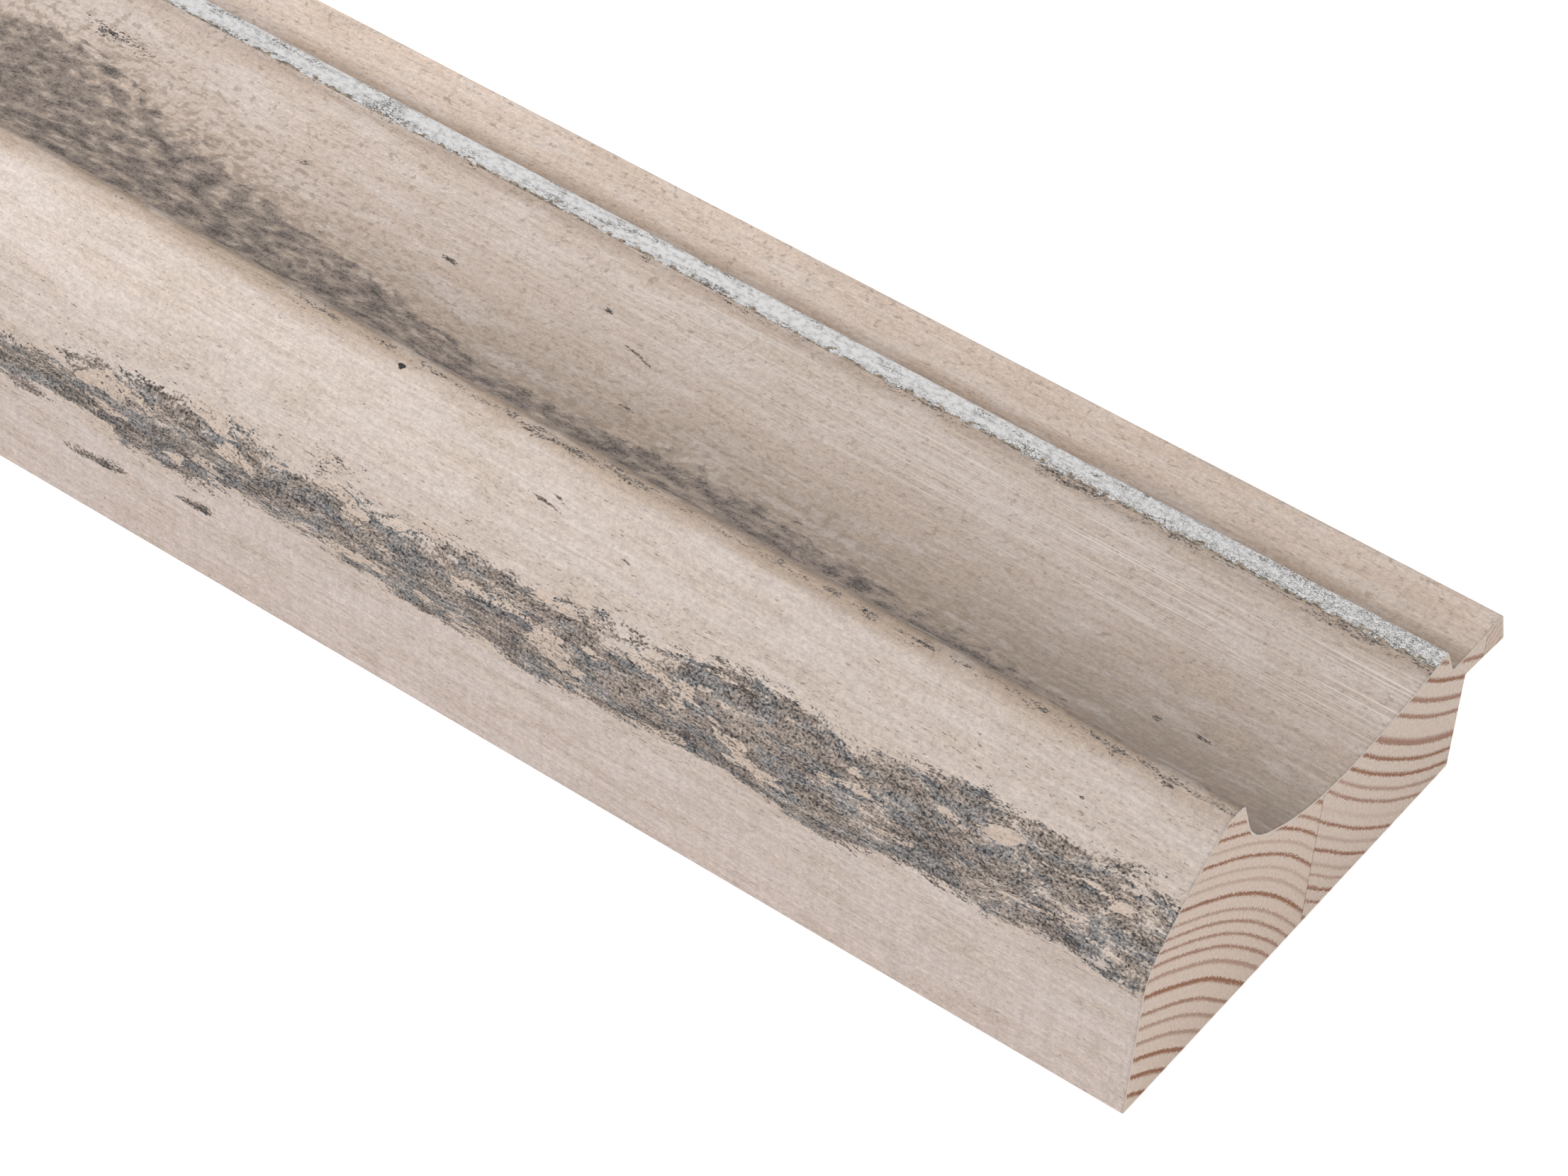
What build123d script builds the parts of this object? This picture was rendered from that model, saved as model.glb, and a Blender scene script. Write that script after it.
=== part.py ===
"""A stick of picture frame moulding: edge-glued softwood staves, planed to one section.

The stick lies on its flat back. X runs across the section from the frame's outer wall to the lip
that stands over the rabbet, Y runs along the stick and Z is up. The origin is the middle of the
stick's footprint. Each stave is one solid, and the staves meet face to face at their glue lines.
"""

import os

from build123d import *

# The stick and its back
stick_length = 1219.2  # a four-foot length
back_width = 70.0  # the flat back, from the outer wall to the rabbet wall

# The outer wall and the swept shoulder above it
wall_height = 21.7
wall_lean = 0.6  # how far the wall leans in over its height
sweep_radius = 50.0  # the long rounded slope from the shoulder up to the crest
shoulder_round = 8.0

# The crest, the highest stretch of the face
crest_height = 35.6
crest_setback = 14.6  # from the foot of the outer wall to the crest's near edge
crest_width = 3.0
crest_near_round = 1.6
crest_far_round = 1.1

# The steep quirk behind the crest and the wide scoop that it falls into
quirk_run = 3.0
quirk_drop = 7.6
quirk_round = 12.0
scoop_floor_setback = 42.3  # from the foot of the outer wall to the scoop's lowest line
scoop_floor_height = 21.3

# The ridge that carries the silvered line, and the groove behind it
ridge_setback = 6.2  # from the ridge's crest back to the rabbet wall
ridge_height = 23.7
ridge_round = 0.4
groove_setback = 3.9  # from the groove's floor back to the rabbet wall
groove_round = 0.3

# The lip over the rabbet
rabbet_width = 9.1  # from the rabbet wall to the lip's furthest edge
rabbet_height = 15.3
lip_top_height = 19.05
lip_tip_rise = 0.65  # how far the lip's top rises to its tip
lip_rise_run = 5.0  # how far back from the lip's edge that rise starts
lip_tip_slant = 1.6  # how far the tip's face leans out below its top edge
lip_undercut = 0.65  # how far the lip's underside falls to its tip
lip_tip_round = 0.5

# The glue lines
front_stave_width = 37.2
lip_stave_width = 4.9

overall_width = back_width + rabbet_width


def section_outline():
    """The sharp section's edges in order, and the radius at each of its worked corners."""
    heel = (0, 0)
    shoulder = (wall_lean, wall_height)
    crest_near = (crest_setback, crest_height)
    crest_far = (crest_setback + crest_width, crest_height)
    quirk_foot = (crest_far[0] + quirk_run, crest_height - quirk_drop)
    scoop_floor = (scoop_floor_setback, scoop_floor_height)
    ridge = (back_width - ridge_setback, ridge_height)
    groove = (back_width - groove_setback, lip_top_height)
    lip_rise = (overall_width - lip_rise_run, lip_top_height)
    tip_top = (overall_width - lip_tip_slant, lip_top_height + lip_tip_rise)
    tip_foot = (overall_width, rabbet_height - lip_undercut)
    rabbet_corner = (back_width, rabbet_height)
    toe = (back_width, 0)
    return [
        Line(heel, shoulder),
        RadiusArc(shoulder, crest_near, sweep_radius),
        Line(crest_near, crest_far),
        Line(crest_far, quirk_foot),
        TangentArc(scoop_floor, quirk_foot, tangent=(-1, 0)),
        TangentArc(scoop_floor, ridge, tangent=(1, 0)),
        Line(ridge, groove),
        Line(groove, lip_rise),
        TangentArc(lip_rise, tip_top, tangent=(1, 0)),
        Line(tip_top, tip_foot),
        Line(tip_foot, rabbet_corner),
        Line(rabbet_corner, toe),
        Line(toe, heel),
    ], {
        shoulder: shoulder_round,
        crest_near: crest_near_round,
        crest_far: crest_far_round,
        quirk_foot: quirk_round,
        ridge: ridge_round,
        groove: groove_round,
        tip_top: lip_tip_round,
    }


def rounded_section():
    """The whole section as one face, with each worked corner at its own radius."""
    edges, rounds = section_outline()
    face = make_face(edges)
    for corner, radius in rounds.items():
        nearest = face.vertices().sort_by_distance(Vector(*corner))[0]
        face = fillet(nearest, radius)
    return face


def stave(section, start, end):
    """The stretch of the section between two glue lines, run along the whole stick."""
    band = Pos((start + end) / 2, crest_height / 2) * Rectangle(end - start, 2 * crest_height)
    across = Pos(-overall_width / 2, 0) * (section & band)
    upright = Plane.XZ * across
    return extrude(upright, stick_length / 2, both=True)


def staves():
    """Each stave by its node's name."""
    section = rounded_section()
    first_glue_line = front_stave_width
    second_glue_line = overall_width - lip_stave_width
    return {
        "front_stave": stave(section, 0, first_glue_line),
        "middle_stave": stave(section, first_glue_line, second_glue_line),
        "lip_stave": stave(section, second_glue_line, overall_width),
    }


os.makedirs("parts", exist_ok=True)
for name, solid in staves().items():
    export_step(solid, f"parts/{name}.step")
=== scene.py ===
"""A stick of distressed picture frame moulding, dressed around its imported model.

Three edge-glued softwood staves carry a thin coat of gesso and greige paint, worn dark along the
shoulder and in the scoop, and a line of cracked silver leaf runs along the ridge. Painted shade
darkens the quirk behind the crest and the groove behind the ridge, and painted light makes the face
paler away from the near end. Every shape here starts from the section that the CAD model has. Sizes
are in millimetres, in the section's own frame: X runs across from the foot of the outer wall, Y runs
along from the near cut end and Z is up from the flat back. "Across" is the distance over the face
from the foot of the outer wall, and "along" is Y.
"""

import logging
import math
from dataclasses import dataclass
from enum import Enum
from typing import Any

import bpy
from mathutils import Euler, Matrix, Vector


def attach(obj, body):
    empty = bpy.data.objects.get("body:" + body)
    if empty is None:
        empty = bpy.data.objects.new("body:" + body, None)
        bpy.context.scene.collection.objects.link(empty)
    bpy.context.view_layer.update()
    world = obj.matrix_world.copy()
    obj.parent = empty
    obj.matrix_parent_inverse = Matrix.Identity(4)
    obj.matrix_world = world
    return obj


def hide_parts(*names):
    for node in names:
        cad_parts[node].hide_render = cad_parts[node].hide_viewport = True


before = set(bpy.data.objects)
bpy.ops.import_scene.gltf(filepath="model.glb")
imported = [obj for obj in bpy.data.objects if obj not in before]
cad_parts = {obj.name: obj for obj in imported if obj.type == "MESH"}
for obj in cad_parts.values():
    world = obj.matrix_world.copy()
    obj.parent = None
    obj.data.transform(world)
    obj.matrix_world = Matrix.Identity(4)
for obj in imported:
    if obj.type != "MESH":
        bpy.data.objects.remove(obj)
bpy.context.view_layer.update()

LOG = logging.getLogger("moulding")
MM = 0.001

MATH = "ShaderNodeMath"
VECTOR_MATH = "ShaderNodeVectorMath"
NOISE = "ShaderNodeTexNoise"
RANGE = "ShaderNodeMapRange"
MIX = "ShaderNodeMix"
SEPARATE = "ShaderNodeSeparateXYZ"
COMBINE = "ShaderNodeCombineXYZ"
RAMP = "ShaderNodeValToRGB"
STORE = "GeometryNodeStoreNamedAttribute"
NAMED = "GeometryNodeInputNamedAttribute"
MOVE = "GeometryNodeSetPosition"

FACE_SPAN = 120.0  # a round distance over the whole face, which the curves and ramps are scaled to
STICK_END = 1219.0  # where the wear's lines end along the stick
SEED_SHIFT = (17.3, 9.1)  # how many of its own marks each seed moves a mottle by


def add(tree: bpy.types.NodeTree, kind: str, *inputs: Any, **settings: Any) -> bpy.types.Node:
    """Add a node with its settings, and set or link its inputs.

    Args:
        tree: The node tree that gets the node.
        kind: The node's type.
        inputs: Values, sockets or nodes for the inputs in use, in their order. A dict gives them by name,
            and None leaves an input alone. A node stands for its first output in use.
        settings: The node's properties. The stops of a colour ramp are (place, colour) pairs and the
            points of a curve (place, height) pairs, from 0 to 1.

    Returns:
        The new node.
    """
    node = tree.nodes.new(kind)
    for place, colour in settings.pop("stops", ()):
        elements = node.color_ramp.elements
        old = next((e for e in elements if abs(e.position - place) < 1e-4), None)
        (old or elements.new(place)).color = colour
    for place, height in settings.pop("points", ()):
        points = node.mapping.curves[0].points
        old = next((point for point in points if abs(point.location.x - place) < 1e-3), None)
        (old or points.new(place, height)).location = (place, height)
        node.mapping.update()
    for name, setting in settings.items():
        setattr(node, name, setting)
    open_sockets = [socket for socket in node.inputs if socket.enabled]
    wanted: list[tuple[bpy.types.NodeSocket, Any]] = []
    for place, value in enumerate(inputs):
        if isinstance(value, dict):
            wanted += [(next(s for s in open_sockets if s.name == name), v) for name, v in value.items()]
        elif value is not None:
            wanted.append((open_sockets[place], value))
    for socket, value in wanted:
        if isinstance(value, bpy.types.Node):
            value = next(output for output in value.outputs if output.enabled)
        if isinstance(value, bpy.types.NodeSocket):
            tree.links.new(value, socket)
        else:
            socket.default_value = value
    return node


def srgb(code: str) -> tuple[float, float, float, float]:
    """Turn an sRGB hex colour into linear light.

    Args:
        code: The colour, such as "#c8b9b1".

    Returns:
        Red, green, blue and an alpha of 1.
    """
    channels = [int(code[place:place + 2], 16) / 255 for place in (1, 3, 5)]
    red, green, blue = (c / 12.92 if c <= 0.04045 else ((c + 0.055) / 1.055) ** 2.4 for c in channels)
    return red, green, blue, 1.0


@dataclass(frozen=True)
class Edge:
    """A straight or evenly bent stretch of the face's line.

    Attributes:
        start: Where it starts, as (X, Z).
        heading: Which way it sets off, in radians from +X towards +Z.
        length: How long it is.
        turn: How far its heading turns over its length, in radians, positive towards +Z.
    """

    start: Vector
    heading: float
    length: float
    turn: float

    @classmethod
    def between(cls, start: Vector, end: Vector, turn: float) -> "Edge":
        """The stretch from one point to another that turns by a given angle.

        Args:
            start: Its first point.
            end: Its last point.
            turn: How far its heading turns, in radians.

        Returns:
            The stretch.
        """
        chord = end - start
        half = turn / 2
        stretch = half / math.sin(half) if half else 1.0
        return cls(start, math.atan2(chord.y, chord.x) - half, chord.length * stretch, turn)

    def heading_at(self, distance: float) -> float:
        """The heading at a distance from its start."""
        return self.heading + self.turn * distance / self.length

    def at(self, distance: float) -> Vector:
        """The point at a distance from its start.

        Args:
            distance: The distance.

        Returns:
            The point.
        """
        now = self.heading_at(distance)
        if not self.turn:
            return self.start + distance * Vector((math.cos(now), math.sin(now)))
        radius = self.length / self.turn
        way = Vector((math.sin(now) - math.sin(self.heading), math.cos(self.heading) - math.cos(now)))
        return self.start + radius * way

    def cut(self, first: float, last: float) -> "Edge":
        """What is left of it with a length off each end.

        Args:
            first: The length off its start.
            last: The length off its end.

        Returns:
            The shorter stretch.
        """
        left = self.length - first - last
        return Edge(self.at(first), self.heading_at(first), left, self.turn * left / self.length)


@dataclass(frozen=True)
class Corner:
    """A corner of the face's line.

    Attributes:
        x: Its place across the section.
        z: Its height.
        turn: How far the stretch that leaves it turns, in radians.
        rounding: The radius that the corner is worked to.
    """

    x: float
    z: float
    turn: float = 0.0
    rounding: float = 0.0


@dataclass(frozen=True)
class Section:
    """The moulding's section, with the sizes that the CAD model has."""

    stick_length: float = 1219.2
    back_width: float = 70.0
    wall_height: float = 21.7
    wall_lean: float = 0.6
    sweep_radius: float = 50.0
    shoulder_round: float = 8.0
    crest_height: float = 35.6
    crest_setback: float = 14.6
    crest_width: float = 3.0
    crest_near_round: float = 1.6
    crest_far_round: float = 1.1
    quirk_run: float = 3.0
    quirk_drop: float = 7.6
    quirk_round: float = 12.0
    scoop_floor_setback: float = 42.3
    scoop_floor_height: float = 21.3
    ridge_setback: float = 6.2
    ridge_height: float = 23.7
    ridge_round: float = 0.4
    groove_setback: float = 3.9
    groove_round: float = 0.3
    rabbet_width: float = 9.1
    rabbet_height: float = 15.3
    lip_top_height: float = 19.05
    lip_tip_rise: float = 0.65
    lip_rise_run: float = 5.0
    lip_tip_slant: float = 1.6
    lip_undercut: float = 0.65
    lip_tip_round: float = 0.5
    front_stave_width: float = 37.2
    lip_stave_width: float = 4.9

    @property
    def overall_width(self) -> float:
        """The width from the outer wall to the lip's edge."""
        return self.back_width + self.rabbet_width

    @property
    def glue_lines(self) -> tuple[float, float]:
        """Where the staves meet, across the section."""
        return self.front_stave_width, self.overall_width - self.lip_stave_width

    def face_corners(self) -> list[Corner]:
        """The face's corners from the foot of the outer wall to the lip's lower edge.

        Returns:
            The corners in order.
        """
        crest_far = self.crest_setback + self.crest_width
        foot_x = crest_far + self.quirk_run
        foot_z = self.crest_height - self.quirk_drop
        sweep = Vector((self.crest_setback - self.wall_lean, self.crest_height - self.wall_height))
        fall = math.atan2(foot_z - self.scoop_floor_height, self.scoop_floor_setback - foot_x)
        ridge_x = self.back_width - self.ridge_setback
        climb = math.atan2(self.ridge_height - self.scoop_floor_height, ridge_x - self.scoop_floor_setback)
        tip_rise = math.atan2(self.lip_tip_rise, self.lip_rise_run - self.lip_tip_slant)
        return [
            Corner(0.0, 0.0),
            Corner(self.wall_lean, self.wall_height,
                   -2 * math.asin(sweep.length / 2 / self.sweep_radius), self.shoulder_round),
            Corner(self.crest_setback, self.crest_height, 0.0, self.crest_near_round),
            Corner(crest_far, self.crest_height, 0.0, self.crest_far_round),
            Corner(foot_x, foot_z, 2 * fall, self.quirk_round),
            Corner(self.scoop_floor_setback, self.scoop_floor_height, 2 * climb),
            Corner(ridge_x, self.ridge_height, 0.0, self.ridge_round),
            Corner(self.back_width - self.groove_setback, self.lip_top_height, 0.0, self.groove_round),
            Corner(self.overall_width - self.lip_rise_run, self.lip_top_height, 2 * tip_rise),
            Corner(self.overall_width - self.lip_tip_slant, self.lip_top_height + self.lip_tip_rise,
                   0.0, self.lip_tip_round),
            Corner(self.overall_width, self.rabbet_height - self.lip_undercut),
        ]


class FaceLine:
    """The face's line across the section, walked from the foot of the outer wall to the lip."""

    def __init__(self, section: Section) -> None:
        """Round the section's corners and chain its stretches.

        Args:
            section: The section to follow.
        """
        corners = section.face_corners()
        places = [Vector((corner.x, corner.z)) for corner in corners]
        sharp = [Edge.between(a, b, corner.turn) for a, b, corner in zip(places, places[1:], corners)]
        cuts = [0.0]
        for before, after, corner in zip(sharp, sharp[1:], corners[1:]):
            turn = after.heading - before.heading_at(before.length)
            cuts.append(corner.rounding * math.tan(abs(turn) / 2))
        cuts.append(0.0)
        self.edges: list[Edge] = []
        for place, edge in enumerate(sharp):
            kept = edge.cut(cuts[place], cuts[place + 1])
            if cuts[place]:
                last = self.edges[-1]
                turn = kept.heading - last.heading_at(last.length)
                self.edges.append(Edge.between(last.at(last.length), kept.start, turn))
            self.edges.append(kept)
        self.length = sum(edge.length for edge in self.edges)

    def walk(self, across: float) -> tuple[Vector, Vector]:
        """The face's point and outward direction at a distance over it.

        Args:
            across: The distance from the foot of the outer wall.

        Returns:
            The point as (X, Z), and the direction out of the wood.
        """
        left = across
        for edge in self.edges[:-1]:
            if left <= edge.length:
                break
            left -= edge.length
        else:
            edge = self.edges[-1]
        heading = edge.heading_at(left)
        return edge.at(left), Vector((-math.sin(heading), math.cos(heading)))

    def across_at(self, x: float, depth: float = 0.0) -> float:
        """How far over the face a place across the section lies.

        Args:
            x: The place across the section.
            depth: How far under the face the place is met.

        Returns:
            The distance over the face, found by halving.
        """
        precision = 1e-4
        low, high = 0.0, self.length
        while high - low > precision:
            middle = (low + high) / 2
            point, outward = self.walk(middle)
            low, high = (middle, high) if (point - depth * outward).x < x else (low, middle)
        return low


@dataclass(frozen=True)
class Mottle:
    """A random mottle laid over the face, between 0 and 1 and about a half on average.

    Attributes:
        along: The size of its marks along the stick.
        across: The size of its marks over the face.
        detail: How many finer mottles are laid on it.
        roughness: How strong the finer ones are.
        seed: What sets it apart from the others.
    """

    along: float
    across: float
    detail: float = 3.0
    roughness: float = 0.55
    seed: float = 0.0

    def lay(self, tree: bpy.types.NodeTree, sheet: Any) -> bpy.types.Node:
        """Add the mottle's nodes.

        Args:
            tree: The node tree that gets them.
            sheet: The place on the face, as (along, across, 0) in millimetres.

        Returns:
            The node that gives the mottle.
        """
        place = add(tree, VECTOR_MATH, sheet, (1 / self.along, 1 / self.across, 1.0),
                    (SEED_SHIFT[0] * self.seed, SEED_SHIFT[1] * self.seed, 0.0), operation="MULTIPLY_ADD")
        return add(tree, NOISE, {"Vector": place, "Scale": 1.0, "Detail": self.detail,
                                 "Roughness": self.roughness}, noise_dimensions="2D")


@dataclass(frozen=True)
class Contour:
    """A line that wanders over the face as it runs along the stick.

    Attributes:
        points: Its (along, across) points, the first at the near end and the last at the far end.
        span: The furthest that it can lie over the face.
    """

    points: tuple[tuple[float, float], ...]
    span: float = FACE_SPAN

    @classmethod
    def level(cls, across: float) -> "Contour":
        """A line that keeps one distance over the face."""
        return cls(((0.0, across), (STICK_END, across)))

    def follow(self, tree: bpy.types.NodeTree, along: Any, length: float) -> bpy.types.Node:
        """Add the nodes that give how far over the face the line is.

        Args:
            tree: The node tree that gets them.
            along: The distance along the stick.
            length: The stick's length.

        Returns:
            The node that gives the distance over the face.
        """
        share = add(tree, MATH, along, length, operation="DIVIDE")
        points = [(place / length, across / self.span) for place, across in self.points]
        curve = add(tree, "ShaderNodeFloatCurve", {"Value": share}, points=points)
        return add(tree, MATH, curve, self.span, operation="MULTIPLY")


@dataclass(frozen=True)
class WornBand:
    """A stretch of the face that is rubbed back and rough.

    Attributes:
        lower: The edge nearer the outer wall.
        upper: The edge nearer the lip.
        strength: How worn it is along the stick, from 0 to 1.
        blur: How far it takes to fade out at its edges.
        lower_sharpness: How many times sharper its lower edge is than its upper one.
    """

    lower: Contour
    upper: Contour
    strength: Contour
    blur: float = 2.2
    lower_sharpness: float = 1.0

    def share(self, tree: bpy.types.NodeTree, along: Any, across: Any, length: float,
              spread: float = 1.0) -> bpy.types.Node:
        """Add the nodes that give how worn a place is.

        Args:
            tree: The node tree that gets them.
            along: The distance along the stick.
            across: The distance over the face, swayed.
            length: The stick's length.
            spread: How many times further than usual it fades out.

        Returns:
            The node that gives the share, from 0 to 1.
        """
        over_lower = add(tree, MATH, across, self.lower.follow(tree, along, length), operation="SUBTRACT")
        over_lower = add(tree, MATH, over_lower, self.lower_sharpness, operation="MULTIPLY")
        under_upper = add(tree, MATH, self.upper.follow(tree, along, length), across, operation="SUBTRACT")
        depth = add(tree, MATH, over_lower, under_upper, operation="MINIMUM")
        inside = add(tree, RANGE, depth, -self.blur * spread, self.blur)
        return add(tree, MATH, inside, self.strength.follow(tree, along, length), operation="MULTIPLY")


@dataclass(frozen=True)
class Mark:
    """A single dark mark on the face.

    Attributes:
        along: Its middle's place along the stick.
        across: Its middle's place over the face.
        length: How long it is.
        width: How wide it is.
        slant: How far it climbs over the face for each unit along.
        strength: How dark it is, from 0 to 1.
    """

    along: float
    across: float
    length: float
    width: float
    slant: float = 0.0
    strength: float = 0.9


def fine_band(across: float, half_width: float, strengths: tuple[tuple[float, float], ...]) -> WornBand:
    """A narrow worn line that keeps its place over the face.

    Args:
        across: Its middle.
        half_width: Half its width.
        strengths: How worn it is, as (along, strength) points.

    Returns:
        The band.
    """
    return WornBand(Contour.level(across - half_width), Contour.level(across + half_width),
                    Contour(strengths, 1.0), 1.0)


@dataclass(frozen=True)
class Wear:
    """Where the face is worn, the same for its relief and its colours.

    Attributes:
        length: The stick's length.
        sway: How far its slow waves reach over the face.
        shoulder: The gritty band along the shoulder.
        scoop: The brown wear that spreads up from the quirk.
        scoop_edge: Where the scoop's wear starts behind the crest, over the face.
        crest: The rubbed line on the crest.
        under_leaf: The dirt along the silver leaf's lower edge.
        marks: The single marks.
        nail_hole: The hole in the crest.
    """

    length: float
    sway: float = 8.0
    scoop_edge: tuple[float, float] = (43.6, 44.1)
    shoulder: WornBand = WornBand(
        Contour(((0, 18.6), (20, 17.8), (30, 18.2), (40, 16.4), (80, 14.8), (110, 15.6), (130, 14.6),
                 (168, 13.2), (240, 14), (330, 17), (430, 14.5), (540, 13), (660, 16.5), (780, 14),
                 (900, 15.5), (1030, 17.5), (1130, 14), (1219, 15))),
        Contour(((0, 32.2), (20, 31.6), (40, 31), (60, 28.8), (80, 26.6), (140, 26), (168, 22.4),
                 (240, 25), (330, 31), (430, 29), (540, 24), (660, 28), (780, 31.5), (900, 26),
                 (1030, 25), (1130, 30), (1219, 31))),
        Contour(((0, 0.86), (30, 0.93), (60, 1), (105, 0.9), (135, 0.92), (170, 0.96), (300, 1),
                 (520, 0.75), (700, 1), (900, 0.8), (1219, 1)), 1.0), 2.8, 1.8)
    scoop: WornBand = WornBand(
        Contour.level(43.9),
        Contour(((0, 56.5), (20, 59.5), (40, 62.5), (60, 65.5), (90, 67), (110, 65.5), (130, 68),
                 (150, 72.5), (180, 78), (200, 82), (215, 80), (260, 76), (320, 66), (400, 62), (480, 70),
                 (560, 78), (640, 73), (730, 64), (820, 68), (900, 77), (980, 74), (1060, 65), (1140, 69),
                 (1219, 75))),
        Contour(((0, 0.74), (20, 0.8), (60, 0.9), (120, 0.92), (180, 0.88), (260, 0.95), (380, 0.7),
                 (560, 1), (740, 0.7), (920, 1), (1080, 0.7), (1219, 0.9)), 1.0), 2.4)
    crest: WornBand = fine_band(42.5, 0.9, (
        (0, 0.74), (12, 0.76), (24, 0.62), (45, 0.6), (65, 0.72), (105, 0.76), (118, 0.74), (126, 0.52),
        (135, 0.7), (142, 0.5), (160, 0.46), (300, 0.7), (500, 0.54), (700, 0.72), (900, 0.54),
        (1219, 0.72)))
    under_leaf: WornBand = fine_band(93.4, 1.0, (
        (0, 0.7), (6, 0.6), (14, 0.74), (24, 0.6), (34, 0.74), (42, 0.58), (52, 0.72), (61, 0.46),
        (70, 0.7), (78, 0.68), (86, 0.44), (110, 0.5), (130, 0.4), (300, 0.68), (420, 0.4), (600, 0.7),
        (760, 0.4), (1000, 0.68), (1219, 0.74)))
    marks: tuple[Mark, ...] = (
        Mark(136.5, 11.0, 9, 1.5, -0.12),
        Mark(153, 8.9, 17, 2.0, -0.03, 0.8),
        Mark(15, 68, 3.6, 1.0),
        Mark(21, 67.2, 2.0, 1.1),
        Mark(100.5, 70.3, 5.0, 1.2, 0.2, 0.75),
        Mark(104.5, 79.2, 7.5, 0.7, 0.22, 0.85),
        Mark(113, 83.5, 2.2, 1.0, 0.1),
        Mark(134, 78.5, 4.6, 1.4, 0.12, 0.75),
        Mark(160.5, 81.5, 3.4, 1.6, 0.2, 0.8),
        Mark(8.5, 41.3, 5.0, 1.8, 0.0, 0.65),
        Mark(16, 35.5, 1.4, 0.7, 0.0, 0.7),
        Mark(89.5, 36.8, 2.6, 0.8, 0.0, 0.75),
        Mark(92, 35.5, 9.0, 1.0, 0.0, 0.66),
        Mark(78, 33.6, 4.0, 1.0, 0.1, 0.6),
        Mark(31, 36.4, 5.0, 0.8, 0.0, 0.55),
        Mark(194, 85.0, 26, 4.6, 0.05, 0.5),
    )
    nail_hole: Mark = Mark(116, 41.0, 1.3, 1.1)

    def swayed(self, tree: bpy.types.NodeTree, sheet: Any) -> bpy.types.Node:
        """Add the nodes that bend the face's places in slow waves, so that wear wanders over them.

        Args:
            tree: The node tree that gets them.
            sheet: The place on the face.

        Returns:
            The node that gives the bent place.
        """
        waves = Mottle(16, 5, 4, 0.55, 3).lay(tree, sheet)
        from_middle = add(tree, MATH, waves, 0.5, operation="SUBTRACT")
        rise = add(tree, COMBINE, 0.0, add(tree, MATH, from_middle, self.sway, operation="MULTIPLY"), 0.0)
        return add(tree, VECTOR_MATH, sheet, rise, operation="ADD")

    def nearness(self, tree: bpy.types.NodeTree, sheet: Any, marks: tuple[Mark, ...]) -> bpy.types.Node:
        """Add the nodes that give how near a place is to the middle of any of some marks.

        Args:
            tree: The node tree that gets them.
            sheet: The place on the face.
            marks: The marks.

        Returns:
            The node that gives a mark's strength at its middle, and 0 a little past its edge.
        """
        gone, whole = 1.25, 0.25  # shares of a mark's half size
        nearest: Any = 0.0
        for mark in marks:
            from_middle = add(tree, VECTOR_MATH, sheet, (mark.along, mark.across, 0.0),
                              operation="SUBTRACT")
            parts = add(tree, SEPARATE, from_middle)
            level = add(tree, MATH, parts.outputs["X"], -mark.slant, parts.outputs["Y"],
                        operation="MULTIPLY_ADD")
            scaled = add(tree, VECTOR_MATH, add(tree, COMBINE, parts.outputs["X"], level, 0.0),
                         (2 / mark.length, 2 / mark.width, 1.0), operation="MULTIPLY")
            reach = add(tree, VECTOR_MATH, scaled, operation="LENGTH")
            inside = add(tree, RANGE, reach, gone, whole, 0.0, mark.strength)
            nearest = add(tree, MATH, inside, nearest, operation="MAXIMUM")
        return nearest


def fresh_material(name: str) -> tuple[bpy.types.Material, bpy.types.NodeTree, bpy.types.Node]:
    """Start a node material with a Principled shader.

    Args:
        name: The material's name.

    Returns:
        The material, its node tree and its shader.
    """
    material = bpy.data.materials.new(name)
    material.use_nodes = True
    material.node_tree.nodes.clear()
    shader = add(material.node_tree, "ShaderNodeBsdfPrincipled")
    add(material.node_tree, "ShaderNodeOutputMaterial", {"Surface": shader})
    return material, material.node_tree, shader


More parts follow.
